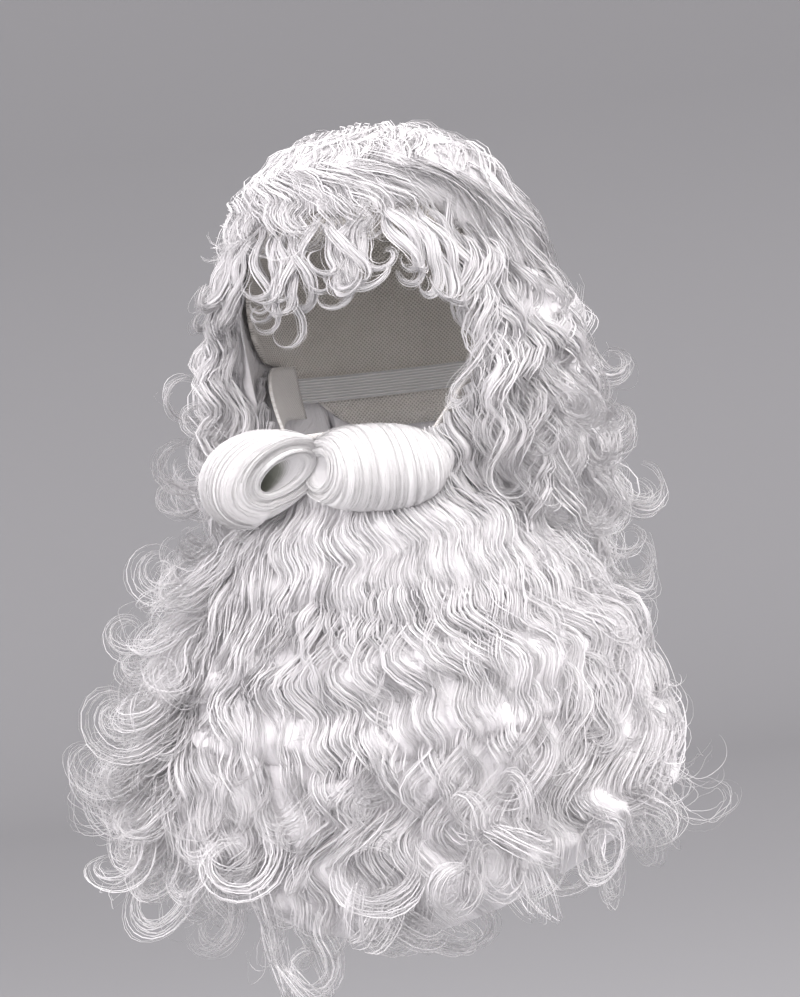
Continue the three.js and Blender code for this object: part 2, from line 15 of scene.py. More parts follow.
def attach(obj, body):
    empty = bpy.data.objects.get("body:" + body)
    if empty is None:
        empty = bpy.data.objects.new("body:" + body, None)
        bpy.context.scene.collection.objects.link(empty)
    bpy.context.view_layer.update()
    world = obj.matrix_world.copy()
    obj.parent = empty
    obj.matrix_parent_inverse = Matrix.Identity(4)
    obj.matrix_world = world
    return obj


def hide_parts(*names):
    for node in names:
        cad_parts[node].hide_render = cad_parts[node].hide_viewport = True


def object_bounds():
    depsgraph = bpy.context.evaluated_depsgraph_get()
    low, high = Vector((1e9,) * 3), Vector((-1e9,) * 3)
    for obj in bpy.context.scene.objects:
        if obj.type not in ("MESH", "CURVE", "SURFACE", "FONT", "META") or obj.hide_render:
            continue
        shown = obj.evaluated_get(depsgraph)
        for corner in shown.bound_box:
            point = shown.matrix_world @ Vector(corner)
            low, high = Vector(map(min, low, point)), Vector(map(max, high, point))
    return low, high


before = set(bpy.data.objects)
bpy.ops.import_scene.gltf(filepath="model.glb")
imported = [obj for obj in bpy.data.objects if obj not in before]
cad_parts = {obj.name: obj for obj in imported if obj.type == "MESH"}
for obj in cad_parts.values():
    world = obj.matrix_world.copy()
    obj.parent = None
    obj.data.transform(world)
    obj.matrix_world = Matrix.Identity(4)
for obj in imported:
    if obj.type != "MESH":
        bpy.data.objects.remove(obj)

cad_box = [list(corner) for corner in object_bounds()]
print("pieces in the frame:", sorted(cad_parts))
print("frame's box in metres:", cad_box)

# %% [markdown]
# The camera comes first, so that each piece can be looked at as it is made.
# The photo was taken from a little to the right, level with the beard, and the set leans to the left in it.
# A long lens from far away gives the flat, calm perspective of a studio portrait.

# %% Camera
PHOTO_WIDTH, PHOTO_HEIGHT = 800, 997
PIXELS_PER_METRE = 1600
CROWN_PIXEL = (370, 155)
VIEW_AZIMUTH = math.radians(22)
VIEW_LEAN = math.radians(7)
VIEW_DISTANCE = 2.6
SENSOR = 36


def add_camera():
    """A camera at the photo's angle, as far to the side and as near as the photo shows."""
    right = Vector((math.cos(VIEW_AZIMUTH), math.sin(VIEW_AZIMUTH), 0))
    forward = Vector((-math.sin(VIEW_AZIMUTH), math.cos(VIEW_AZIMUTH), 0))
    up = Vector((0, 0, 1))
    aside = right * math.cos(VIEW_LEAN) - up * math.sin(VIEW_LEAN)
    over = right * math.sin(VIEW_LEAN) + up * math.cos(VIEW_LEAN)
    shift_right = (PHOTO_WIDTH / 2 - CROWN_PIXEL[0]) / PIXELS_PER_METRE
    shift_down = (PHOTO_HEIGHT / 2 - CROWN_PIXEL[1]) / PIXELS_PER_METRE
    aim = aside * shift_right - over * shift_down
    turned = Matrix((aside, over, -forward)).transposed().to_4x4()
    data = bpy.data.cameras.new("portrait_camera")
    data.sensor_width = SENSOR
    data.lens = SENSOR * VIEW_DISTANCE * PIXELS_PER_METRE / PHOTO_HEIGHT
    camera = bpy.data.objects.new("portrait_camera", data)
    camera.matrix_world = Matrix.Translation(aim - forward * VIEW_DISTANCE) @ turned
    bpy.context.scene.collection.objects.link(camera)
    bpy.context.scene.camera = camera
    return camera


camera = add_camera()
print("lens:", round(camera.data.lens), "mm, at", [round(x, 2) for x in camera.location])

# %% [markdown]
# White hair needs a floor that is pale but darker than the hair, and large soft lights whose shadows model
# the locks. The floor rises into a wall in one curve, so that no horizon shows.

# %% Floor and lights
FLOOR_DROP = 0.30
FLOOR_FRONT = -9.0
FLOOR_HALF = 12.0
FLOOR_COLOUR = (0.24, 0.242, 0.248)
FLOOR_ROUGHNESS = 0.9
SWEEP_BACK = 6.0
SWEEP_RADIUS = 1.5
SWEEP_STEPS = 12
WALL_TOP = 9.0
SOFTBOXES = (
    {"name": "key_softbox", "azimuth": 60, "elevation": 38, "distance": 2.2, "size": 1.5, "power": 25,
     "colour": (1.0, 0.985, 0.965)},
    {"name": "fill_softbox", "azimuth": -42, "elevation": 20, "distance": 2.6, "size": 1.8, "power": 30,
     "colour": (1.0, 0.975, 0.99)},
    {"name": "back_softbox", "azimuth": 200, "elevation": 45, "distance": 2.4, "size": 1.2, "power": 12,
     "colour": (1.0, 1.0, 1.0)},
)
AIR_COLOUR = (1.0, 0.96, 0.985)
AIR_STRENGTH = 1.85


def new_material(name):
    """A material with nodes, its node tree and its shader."""
    material = bpy.data.materials.new(name)
    material.use_nodes = True
    return material, material.node_tree, material.node_tree.nodes["Principled BSDF"]


def flat_finish(name, colour, roughness):
    """A plain matt finish, for what isn't part of the set."""
    material, _, shader = new_material(name)
    shader.inputs["Base Color"].default_value = (*colour, 1)
    shader.inputs["Roughness"].default_value = roughness
    return material


def add_sweep():
    """A floor that turns up into a wall behind the set."""
    low = cad_box[0][2] - FLOOR_DROP
    profile = [(FLOOR_FRONT, low)]
    for step in range(SWEEP_STEPS + 1):
        angle = math.radians(90 * step / SWEEP_STEPS)
        back = SWEEP_BACK + SWEEP_RADIUS * math.sin(angle)
        profile.append((back, low + SWEEP_RADIUS * (1 - math.cos(angle))))
    profile.append((SWEEP_BACK + SWEEP_RADIUS, WALL_TOP))
    vertices = [(x, y, z) for x in (-FLOOR_HALF, FLOOR_HALF) for y, z in profile]
    count = len(profile)
    faces = [(i, i + 1, count + i + 1, count + i) for i in range(count - 1)]
    mesh = bpy.data.meshes.new("studio_sweep")
    mesh.from_pydata(vertices, [], faces)
    mesh.shade_smooth()
    mesh.transform(Matrix.Rotation(VIEW_AZIMUTH, 4, "Z"))
    mesh.materials.append(flat_finish("pale_floor", FLOOR_COLOUR, FLOOR_ROUGHNESS))
    sweep = bpy.data.objects.new("studio_sweep", mesh)
    bpy.context.scene.collection.objects.link(sweep)
    return sweep


def add_softbox(name, azimuth, elevation, distance, size, power, colour):
    """A square lamp that faces the middle of the set."""
    turn, rise = math.radians(azimuth), math.radians(elevation)
    middle = Vector((0, 0, (cad_box[0][2] + cad_box[1][2]) / 2))
    back = Vector((math.sin(turn) * math.cos(rise), -math.cos(turn) * math.cos(rise), math.sin(rise)))
    data = bpy.data.lights.new(name, "AREA")
    data.size, data.energy, data.color = size, power, colour
    lamp = bpy.data.objects.new(name, data)
    lamp.location = middle + back * distance
    lamp.rotation_euler = (-back).to_track_quat("-Z", "Y").to_euler()
    lamp.visible_camera = False
    bpy.context.scene.collection.objects.link(lamp)
    return lamp


add_sweep()
lamps = [add_softbox(**softbox) for softbox in SOFTBOXES]
world = bpy.data.worlds.new("studio_air")
world.use_nodes = True
air = world.node_tree.nodes["Background"].inputs
air["Color"].default_value = (*AIR_COLOUR, 1)
air["Strength"].default_value = AIR_STRENGTH
bpy.context.scene.world = world
bpy.context.scene.view_settings.view_transform = "Standard"
print("lamps:", [lamp.name for lamp in lamps])

# %% [markdown]
# The set hangs on a head that isn't there, so the head's surface is worked out from a few sizes.
# Sections of it are shares of its half width and half length, from the temples down to under the chin.
# Every surface below takes arrays, so one call places a whole row of hair.

# %% The head's surface
HEAD_WIDTH = 0.156
HEAD_LENGTH = 0.198
CROWN_TO_TEMPLE = 0.104
HANG_DROP = 0.150
FIT_ROOM = 0.0056
CAP_WALL = 0.002
SEAT = 0.0028
WEFT_WALL = 0.005
DOME_POWER = 2.3
CAP_RIM = {"front": 0.058, "ear": 0.122, "nape": 0.168}
CROWN_RIM = {"front": 0.042, "ear": 0.084, "nape": 0.098}
JAW_TURNS = (math.radians(14), math.radians(84))
JAW_TOP = (0.204, 0.124)
JAW_BOTTOM = (0.236, 0.158)
HEAD_SECTIONS = {
    "drop": (1.0, 1.35, 1.8, 2.1, 2.4),
    "wide": (1.0, 0.96, 0.86, 0.72, 0.6),
    "front": (0.97, 0.96, 0.96, 0.92, 0.84),
    "back": (1.0, 0.97, 0.84, 0.72, 0.66),
}


def points(x, y, z):
    """An array of points from arrays of their coordinates."""
    return np.stack(np.broadcast_arrays(x, y, z), -1)


def unit(vectors):
    """The same directions at length 1."""
    return vectors / np.maximum(np.linalg.norm(vectors, axis=-1, keepdims=True), 1e-12)


def smoothstep(value, low, high):
    """0 below low, 1 above high, and a smooth rise between them."""
    share = np.clip((value - low) / (high - low), 0, 1)
    return share * share * (3 - 2 * share)


def mix(low, high, share):
    """low where share is 0, and high where it is 1."""
    return low + (high - low) * share


def head_shares(drop):
    """How wide the head is at a depth below the crown, and how long to the front and to the back."""
    height = np.clip((CROWN_TO_TEMPLE - drop) / CROWN_TO_TEMPLE, 0, 1)
    dome = (1 - height**DOME_POWER) ** (1 / DOME_POWER)
    front = dome * mix(1, HEAD_SECTIONS["front"][0], 1 - height)
    low = drop / CROWN_TO_TEMPLE
    shares = []
    for key, over in (("wide", dome), ("front", front), ("back", dome)):
        below = np.interp(low, HEAD_SECTIONS["drop"], HEAD_SECTIONS[key])
        shares.append(np.where(drop < CROWN_TO_TEMPLE, over, below))
    return shares


def skin_normal(turn, drop):
    """The way out from the skin, level at the temples and up at the crown."""
    height = np.clip((CROWN_TO_TEMPLE - drop) / CROWN_TO_TEMPLE, 0, 1)
    level = np.sqrt(1 - height * height)
    flat = unit(points(np.sin(turn) / HEAD_WIDTH, -np.cos(turn) / HEAD_LENGTH, 0 * turn))
    return flat * level[..., None] + points(0 * height, 0 * height, height)


def over_skin(turn, drop, rise):
    """Points over the skin. turn runs from the front towards +X, in radians."""
    turn, drop, rise = np.broadcast_arrays(turn, drop, rise)
    wide, front, back = head_shares(drop)
    length = np.where(np.cos(turn) > 0, front, back)
    skin = points(HEAD_WIDTH / 2 * wide * np.sin(turn), -HEAD_LENGTH / 2 * length * np.cos(turn), -drop)
    return skin + skin_normal(turn, drop) * rise[..., None]


def over_cap(turn, drop, rise):
    """Points over the wig's cap, which rests on the crown and hangs straight down from the ears' level."""
    turn, drop, rise = np.broadcast_arrays(turn, drop, rise)
    place = over_skin(turn, np.minimum(drop, HANG_DROP), FIT_ROOM + rise)
    place[..., 2] -= FIT_ROOM * np.clip(1 - drop / CROWN_TO_TEMPLE, 0, None)
    place[..., 2] -= np.clip(drop - HANG_DROP, 0, None)
    return place


def rim_drop(turn, front, ear, nape):
    """A depth that changes smoothly from the forehead over the ears to the nape."""
    facing = np.cos(turn)
    ahead = mix(ear, front, smoothstep(facing, 0.05, 0.75))
    behind = mix(ear, nape, smoothstep(-facing, 0, 0.8))
    return np.where(facing > 0, ahead, behind)


def cap_rim(turn):
    return rim_drop(turn, **CAP_RIM)


def crown_rim(turn):
    return rim_drop(turn, **CROWN_RIM)


def jaw_drop(turn, drops):
    """A depth along the jaw, from the chin up to the ears."""
    return mix(*drops, smoothstep(np.abs(turn), *JAW_TURNS))


def jaw_top(turn):
    return jaw_drop(turn, JAW_TOP)


def jaw_bottom(turn):
    return jaw_drop(turn, JAW_BOTTOM)


# %% [markdown]
# The beard hangs from the jaw like an apron that wraps round the chest.
# across runs from -1 to 1 over its width, and down from 0 at the chin to 1 at the tips.

# %% The beard's surface
BEARD_WIDTH = 0.344
EDGES = (-0.99, 0.95)
BEARD_TOP = 0.200
BEARD_LENGTH = 0.282
BEARD_BACK = 0.084
BEARD_THICKNESS = 0.050
BEARD_WRAP = 0.062
BODY_SHARE = 0.84
SIDE_THINNING = 0.85
END_CURVE = 0.3
BEARD_SECTIONS = {
    "down": (0.0, 0.15, 0.35, 0.6, 0.85, 1.0),
    "half": (0.38, 0.6, 0.85, 1.0, 1.05, 1.0),
    "back": (1.15, 1.07, 1.0, 1.15, 1.32, 1.4),
    "thick": (0.35, 0.9, 1.2, 1.15, 0.9, 0.5),
}


def beard_share(key, down):
    return np.interp(down, BEARD_SECTIONS["down"], BEARD_SECTIONS[key])


def beard_out(across, down):
    """The way out from the beard's back."""
    half = beard_share("half", down) * BEARD_WIDTH / 2
    return unit(points(2 * BEARD_WRAP * across / half, -1 + 0 * half, 0 * half))


def over_beard(across, down, rise):
    """Points over the beard's back."""
    across, down, rise = np.broadcast_arrays(across, down, rise)
    half = beard_share("half", down) * BEARD_WIDTH / 2
    back = -BEARD_BACK * beard_share("back", down) + BEARD_WRAP * across**2
    place = points(across * half, back, -BEARD_TOP - down * BEARD_LENGTH)
    return place + beard_out(across, down) * rise[..., None]


def beard_rise(across, down):
    """How far the hair stands out from the beard's back, which thins to its sides."""
    thinning = np.sqrt(np.clip(1 - SIDE_THINNING * across**2, 0.02, 1))
    return BEARD_THICKNESS * beard_share("thick", down) * thinning


def round_end(across, down):
    """A share down the beard that is less towards its sides, so that it ends in a curve."""
    return down * (1 - END_CURVE * across**2)


print("beard's width at its tips in metres:", round(float(2 * over_beard(1.0, 1.0, 0.0)[0]), 3))

# %% [markdown]
# A lock of curled hair has a rule: it waves as it hangs, and ends in a curl.
# So each lock is drawn as one guide line, and all the locks of a row are worked out together.
# A guide also carries how wide and deep its lock is, and which way is across and which is out.

# %% Guides for locks
HAIR_ROOM = 0.012


def held_in(path):
    """Points that leave the frame's box are eased back, so that no curl sticks out further than hair may."""
    low, high = np.array(cad_box)
    over = np.maximum(path - high, 0)
    under = np.maximum(low - path, 0)
    eased = path - over + HAIR_ROOM * np.tanh(over / HAIR_ROOM)
    return eased + under - HAIR_ROOM * np.tanh(under / HAIR_ROOM)


def level_across(out):
    """The level way across, for a way out. At the front it is towards +X."""
    return unit(points(-out[..., 1], out[..., 0], 0 * out[..., 0]))


def waved(spine, out, phase, swing, lift):
    """Spines that swing from side to side and in and out, less near their roots. phase is in turns."""
    share = np.linspace(0, 1, spine.shape[1])[None, :]
    amount = np.minimum(1, 0.3 + 2.5 * share)
    side = (swing * amount * np.sin(2 * np.pi * phase))[..., None]
    depth = (lift * amount * np.cos(2 * np.pi * phase))[..., None]
    return spine + level_across(out) * side + out * depth


def curled(path, out, radius, turns, lean, drift, steps):
    """Paths with a curl added to their ends.

    lean is 0 for a curl that rolls out, and 90 degrees for one that rolls towards +X. Curls tighten towards
    their tips.
    """
    end = path[:, -1]
    along = unit(end - path[:, -3])
    across = level_across(out)
    towards = out * np.cos(lean)[:, None] + across * np.sin(lean)[:, None]
    towards = unit(towards - along * np.sum(towards * along, -1, keepdims=True))
    aside = np.cross(along, towards)
    share = (np.arange(steps) + 0.5) / steps
    angle = 2 * np.pi * turns[:, None] * share[None, :] ** 1.15
    stride = (2 * np.pi * turns * radius / steps)[:, None, None] * (1.25 - 0.5 * share)[None, :, None]
    heading = along[:, None] * np.cos(angle)[..., None] + towards[:, None] * np.sin(angle)[..., None]
    heading = heading + aside[:, None] * drift[:, None, None]
    return np.concatenate([path, end[:, None] + np.cumsum(heading * stride, 1)], 1)


def as_locks(path, out, width, depth):
    """Locks from paths: their frames are carried along without twist, and their width swells and thins.

    A lock is widest from a third of its length to a little over half, and thins to a third at its tip.
    """
    path = held_in(path)
    tangent = unit(np.gradient(path, axis=1))
    normal = np.empty_like(path)
    carried = out
    for i in range(path.shape[1]):
        carried = unit(carried - tangent[:, i] * np.sum(carried * tangent[:, i], -1, keepdims=True))
        normal[:, i] = carried
    length = np.cumsum(np.linalg.norm(np.diff(path, axis=1, prepend=path[:, :1]), axis=-1), 1)
    share = length / length[:, -1:]
    swell = (0.45 + 0.55 * smoothstep(share, 0, 0.3)) * (1 - 0.66 * smoothstep(share, 0.55, 1))
    return {
        "path": path,
        "out": normal,
        "across": np.cross(normal, tangent),
        "width": width[:, None] * swell,
        "depth": depth[:, None] * swell,
        "share": share,
        "reach": length,
    }


def guide_mesh(name, locks):
    """The guides as a mesh of edges, with what they carry in named attributes."""
    count, steps = locks["share"].shape
    index = np.arange(count * steps).reshape(count, steps)
    edges = np.stack([index[:, :-1], index[:, 1:]], -1).reshape(-1, 2)
    mesh = bpy.data.meshes.new(name)
    mesh.vertices.add(count * steps)
    mesh.vertices.foreach_set("co", locks["path"].astype(np.float32).ravel())
    mesh.edges.add(len(edges))
    mesh.edges.foreach_set("vertices", edges.astype(np.int32).ravel())
    for key in ("out", "across"):
        attribute = mesh.attributes.new(key, "FLOAT_VECTOR", "POINT")
        attribute.data.foreach_set("vector", locks[key].astype(np.float32).ravel())
    for key in ("width", "depth", "share", "reach"):
        attribute = mesh.attributes.new(key, "FLOAT", "POINT")
        attribute.data.foreach_set("value", locks[key].astype(np.float32).ravel())
    return mesh


# %% [markdown]
# Geometry Nodes turn guides into hair. One tree makes strands: it copies each guide, moves the copies apart
# inside their lock, ruffles them and trims their tips unevenly. Each one becomes a narrow ribbon that faces
# out, with a random tilt.

# %% Helpers for node trees
def new_tree(name, inputs):
    """An empty Geometry Nodes tree with named inputs and one output."""
    tree = bpy.data.node_groups.new(name, "GeometryNodeTree")
    tree.interface.new_socket("Hair", in_out="OUTPUT", socket_type="NodeSocketGeometry")
    for label, kind, value in inputs:
        socket = tree.interface.new_socket(label, in_out="INPUT", socket_type="NodeSocket" + kind)
        if value is not None:
            socket.default_value = value
    return tree


def add(tree, kind, feeds=None, **settings):
    """Adds a node, sets its options, and feeds its sockets from values or from other nodes' sockets."""
    node = tree.nodes.new(kind)
    for key, value in settings.items():
        setattr(node, key, value)
    for socket, source in (feeds or {}).items():
        if isinstance(source, bpy.types.NodeSocket):
            tree.links.new(source, node.inputs[socket])
        else:
            node.inputs[socket].default_value = source
    return node


def maths(tree, operation, *values):
    node = add(tree, "ShaderNodeMath", dict(enumerate(values)), operation=operation)
    return node.outputs[0]


def product(tree, first, *others):
    """The product of several values, from left to right."""
    for other in others:
        first = maths(tree, "MULTIPLY", first, other)
    return first


def one_less(tree, value, amount):
    """1, less some amount of a value."""
    return maths(tree, "SUBTRACT", 1.0, product(tree, value, amount))


def scaled(tree, vector, amount):
    node = add(tree, "ShaderNodeVectorMath", {0: vector, "Scale": amount}, operation="SCALE")
    return node.outputs[0]


def summed(tree, first, second):
    return add(tree, "ShaderNodeVectorMath", {0: first, 1: second}, operation="ADD").outputs[0]


def noise(tree, vector, scale, detail, roughness=0.5):
    feeds = {"Vector": vector, "Scale": scale, "Detail": detail, "Roughness": roughness}
    return add(tree, "ShaderNodeTexNoise", feeds).outputs


def carried(tree, name, kind="FLOAT"):
    """What the guides carry under a name."""
    return add(tree, "GeometryNodeInputNamedAttribute", {"Name": name}, data_type=kind).outputs[0]


def per_strand(tree, low, high, seed):
    """A random number that is the same all along a strand."""
    chance = add(tree, "FunctionNodeRandomValue", {2: low, 3: high, "Seed": seed}, data_type="FLOAT")
    feeds = {0: chance.outputs[1]}
    return add(tree, "GeometryNodeFieldOnDomain", feeds, domain="CURVE", data_type="FLOAT").outputs[0]


def stored(tree, geometry, name, value):
    feeds = {"Geometry": geometry, "Name": name, "Value": value}
    return add(tree, "GeometryNodeStoreNamedAttribute", feeds, data_type="FLOAT", domain="POINT").outputs[0]


def turned_out(tree, curves, tilt):
    """Curves whose sections face out from the hair, turned by a tilt."""
    feeds = {"Curve": curves, "Normal": carried(tree, "out", "FLOAT_VECTOR")}
    faced = add(tree, "GeometryNodeSetCurveNormal", feeds, mode="FREE").outputs[0]
    return add(tree, "GeometryNodeSetCurveTilt", {"Curve": faced, "Tilt": tilt}).outputs[0]


def drawn_along(tree, curves, profile, size, capped):
    """A mesh with a profile drawn along curves."""
    feeds = {"Curve": curves, "Profile Curve": profile, "Scale": size, "Fill Caps": capped}
    return add(tree, "GeometryNodeCurveToMesh", feeds).outputs[0]


def end_tree(tree, geometry, finish):
    """A tree's last steps: smooth shading, real geometry in place of instances, and the hair's material."""
    smooth = add(tree, "GeometryNodeSetShadeSmooth", {"Geometry": geometry}).outputs[0]
    real = add(tree, "GeometryNodeRealizeInstances", {"Geometry": smooth}).outputs[0]
    finished = add(tree, "GeometryNodeSetMaterial", {"Geometry": real, "Material": finish}).outputs[0]
    add(tree, "NodeGroupOutput", {0: finished})


# %% The strands' tree
STRAND_INPUTS = [
    ("Guides", "Geometry", None),
    ("Strands per lock", "Int", 12),
    ("Radius", "Float", 0.0007),
    ("Spread", "Float", 1.0),
    ("Twist", "Float", 0.3),
    ("Frizz", "Float", 0.001),
    ("Uneven tips", "Float", 0.2),
    ("Tilt", "Float", 0.7),
    ("Seed", "Int", 1),
]
PACKING = 0.6
FRIZZ_SCALE = 42.0
ROOT_FRIZZ = 0.15
FRIZZ_GAIN = 2.6
TIP_POWER = 3.0
TIP_TAPER = 0.82
THICKNESSES = (0.55, 1.3)
FIBRES_ACROSS = 0.12


def strands_tree():
    """Copies of each guide, apart from each other inside their lock, as ribbons with thin tips."""
    tree = new_tree("strands in locks", STRAND_INPUTS)
    entry = add(tree, "NodeGroupInput").outputs
    seed = [maths(tree, "ADD", entry["Seed"], k) for k in range(8)]
    share = carried(tree, "share")
    curves = add(tree, "GeometryNodeMeshToCurve", {"Mesh": entry["Guides"]}).outputs[0]
    feeds = {"Geometry": curves, "Amount": entry["Strands per lock"]}
    copies = add(tree, "GeometryNodeDuplicateElements", feeds, domain="SPLINE").outputs[0]

    heading = per_strand(tree, 0, 2 * math.pi, seed[0])
    packed = maths(tree, "POWER", per_strand(tree, 0, 1, seed[1]), PACKING)
    far = product(tree, packed, entry["Spread"])
    angle = maths(tree, "ADD", heading, product(tree, share, entry["Twist"], 2 * math.pi))
    sideways = product(tree, maths(tree, "COSINE", angle), far, carried(tree, "width"))
    outwards = product(tree, maths(tree, "SINE", angle), far, carried(tree, "depth"))
    moved = summed(tree, scaled(tree, carried(tree, "across", "FLOAT_VECTOR"), sideways),
                   scaled(tree, carried(tree, "out", "FLOAT_VECTOR"), outwards))

    place = scaled(tree, add(tree, "GeometryNodeInputPosition").outputs[0], FRIZZ_SCALE)
    feeds = {k: per_strand(tree, 0, 9, seed[2 + k]) for k in range(3)}
    own = add(tree, "ShaderNodeCombineXYZ", feeds).outputs[0]
    ways = noise(tree, summed(tree, place, own), 1.0, 1.0)["Color"]
    centred = summed(tree, ways, (-0.5, -0.5, -0.5))
    ruffle = product(tree, maths(tree, "ADD", share, ROOT_FRIZZ), FRIZZ_GAIN, entry["Frizz"])
    offset = summed(tree, moved, scaled(tree, centred, ruffle))
    spread = add(tree, "GeometryNodeSetPosition", {"Geometry": copies, "Offset": offset}).outputs[0]

    ends = one_less(tree, per_strand(tree, 0, 1, seed[5]), entry["Uneven tips"])
    cut = add(tree, "GeometryNodeTrimCurve", {"Curve": spread, "End": ends}, mode="FACTOR").outputs[0]
    factor = add(tree, "GeometryNodeSplineParameter").outputs["Factor"]
    taper = one_less(tree, maths(tree, "POWER", factor, TIP_POWER), TIP_TAPER)
    half = product(tree, taper, entry["Radius"], per_strand(tree, *THICKNESSES, seed[6]))
    tinted = stored(tree, cut, "tint_and_shade", per_strand(tree, 0, 1, seed[7]))
    tilted = turned_out(tree, tinted, product(tree, per_strand(tree, -1, 1, seed[3]), entry["Tilt"]))
    line = add(tree, "GeometryNodeCurvePrimitiveLine", {"Start": (0, -1, 0), "End": (0, 1, 0)}).outputs[0]
    profile = stored(tree, line, "around", product(tree, factor, FIBRES_ACROSS))
    add(tree, "NodeGroupOutput", {0: drawn_along(tree, tilted, profile, half, False)})
    return tree


STRANDS = strands_tree()
print("strand tree's nodes:", len(STRANDS.nodes))

# %% [markdown]
# A lock isn't only strands: most of its hair lies packed inside. The second tree gives each guide one solid
# body with a ridged, flattened section that turns as it goes, adds the strands and a few loose hairs over it,
# and finishes them all with the hair's material.

# %% The locks' tree
LOCK_INPUTS = [
    ("Guides", "Geometry", None),
    ("Body", "Float", 0.8),
    ("Flatness", "Float", 0.5),
    ("Ridges", "Int", 6),
    ("Twist", "Float", 0.3),
    ("Strands per lock", "Int", 12),
    ("Strand radius", "Float", 0.0007),
    ("Spread", "Float", 1.0),
    ("Frizz", "Float", 0.001),
    ("Uneven tips", "Float", 0.2),
    ("Loose hairs", "Int", 1),
    ("Loose radius", "Float", 0.0003),
    ("Loose spread", "Float", 1.6),
    ("Loose frizz", "Float", 0.006),
    ("Seed", "Int", 1),
    ("Finish", "Material", None),
]
RIDGE_VALLEYS = 0.84
# Lock bodies get lower tints than their strands, which run from 0 to 1: painted shade inside each lock.
BODY_SHADE_TINTS = (0.2, 0.5)
BODY_TIP_POWER = 4.0
BODY_TAPER = 0.9
LOCK_TILT = 0.8


def locks_tree():
    """A ridged body along each guide, with strands and loose hairs over it."""
    tree = new_tree("locks of curled hair", LOCK_INPUTS)
    entry = add(tree, "NodeGroupInput").outputs
    share = carried(tree, "share")
    curves = add(tree, "GeometryNodeMeshToCurve", {"Mesh": entry["Guides"]}).outputs[0]
    tilted = turned_out(tree, curves, product(tree, share, entry["Twist"], 2 * math.pi))
    # The body's lower tint is painted shade inside the lock.
    tinted = stored(tree, tilted, "tint_and_shade", per_strand(tree, *BODY_SHADE_TINTS, entry["Seed"]))
    feeds = {"Points": entry["Ridges"], "Inner Radius": RIDGE_VALLEYS, "Outer Radius": 1.0}
    star = add(tree, "GeometryNodeCurveStar", feeds).outputs[0]
    squeeze = add(tree, "ShaderNodeCombineXYZ", {0: entry["Flatness"], 1: 1.0, 2: 1.0}).outputs[0]
    flat = add(tree, "GeometryNodeTransform", {"Geometry": star, "Scale": squeeze}).outputs[0]
    profile = stored(tree, flat, "around", add(tree, "GeometryNodeSplineParameter").outputs["Factor"])
    ending = one_less(tree, maths(tree, "POWER", share, BODY_TIP_POWER), BODY_TAPER)
    size = product(tree, carried(tree, "width"), entry["Body"], ending)
    body = drawn_along(tree, tinted, profile, size, True)

    def strands(amount, radius, spread, frizz, seed_step):
        feeds = {
            "Guides": entry["Guides"],
            "Strands per lock": entry[amount],
            "Radius": entry[radius],
            "Spread": entry[spread],
            "Twist": entry["Twist"],
            "Frizz": entry[frizz],
            "Uneven tips": entry["Uneven tips"],
            "Tilt": LOCK_TILT,
            "Seed": maths(tree, "ADD", entry["Seed"], seed_step),
        }
        return add(tree, "GeometryNodeGroup", feeds, node_tree=STRANDS).outputs[0]

    packed = strands("Strands per lock", "Strand radius", "Spread", "Frizz", 11)
    loose = strands("Loose hairs", "Loose radius", "Loose spread", "Loose frizz", 37)
    joined = tree.nodes.new("GeometryNodeJoinGeometry")
    for part in (body, packed, loose):
        tree.links.new(part, joined.inputs[0])
    end_tree(tree, joined.outputs[0], entry["Finish"])
    return tree


LOCKS = locks_tree()
print("lock tree's nodes:", len(LOCKS.nodes))

# %% Strands by themselves
def finished_tree(strands):
    """The strands' tree with its last steps, so that it can be used by itself."""
    tree = new_tree("combed strands", STRAND_INPUTS + [("Finish", "Material", None)])
    entry = add(tree, "NodeGroupInput").outputs
    feeds = {label: entry[label] for label, _, _ in STRAND_INPUTS}
    grown = add(tree, "GeometryNodeGroup", feeds, node_tree=strands).outputs[0]
    end_tree(tree, grown, entry["Finish"])
    return tree


COMBED = finished_tree(STRANDS)

# %% Growing a piece of hair
triangles_made = {}


def triangle_count(mesh):
    return sum(len(polygon.vertices) - 2 for polygon in mesh.polygons)


def plain_piece(name, mesh, node):
    """A finished mesh as an object that stands for a node of the frame."""
    piece = bpy.data.objects.new(name, mesh)
    bpy.context.scene.collection.objects.link(piece)
    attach(piece, "root")
    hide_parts(node)
    triangles_made[name] = triangle_count(mesh)
    low, high = mesh_box(mesh)
    print(name, "triangles:", triangles_made[name], "box:", low, high)
    return piece


def corners_of(mesh):
    """A mesh's vertices as an array of points."""
    corners = np.empty(len(mesh.vertices) * 3)
    mesh.vertices.foreach_get("co", corners)
    return corners.reshape(-1, 3)


def mesh_box(mesh):
    corners = corners_of(mesh)
    return [round(float(x), 3) for x in corners.min(0)], [round(float(x), 3) for x in corners.max(0)]


def joined_locks(*parts):
    """Several sets of locks, all with the same number of steps, as one set."""
    return {key: np.concatenate([part[key] for part in parts]) for key in parts[0]}


def grown_mesh(name, locks, tree, inputs):
    """The mesh that a tree grows on guides."""
    source = bpy.data.objects.new(name + "_guides", guide_mesh(name + "_guides", locks))
    bpy.context.scene.collection.objects.link(source)
    modifier = source.modifiers.new("hair", "NODES")
    modifier.node_group = tree
    sockets = {item.name: item.identifier for item in tree.interface.items_tree if item.in_out == "INPUT"}
    for label, value in inputs.items():
        modifier[sockets[label]] = value
    evaluated = source.evaluated_get(bpy.context.evaluated_depsgraph_get())
    mesh = bpy.data.meshes.new_from_object(evaluated)
    mesh.name = name
    source.modifiers.remove(modifier)
    bpy.data.objects.remove(source)
    return mesh


def grown_piece(name, locks, tree, inputs, node):
    return plain_piece(name, grown_mesh(name, locks, tree, inputs), node)


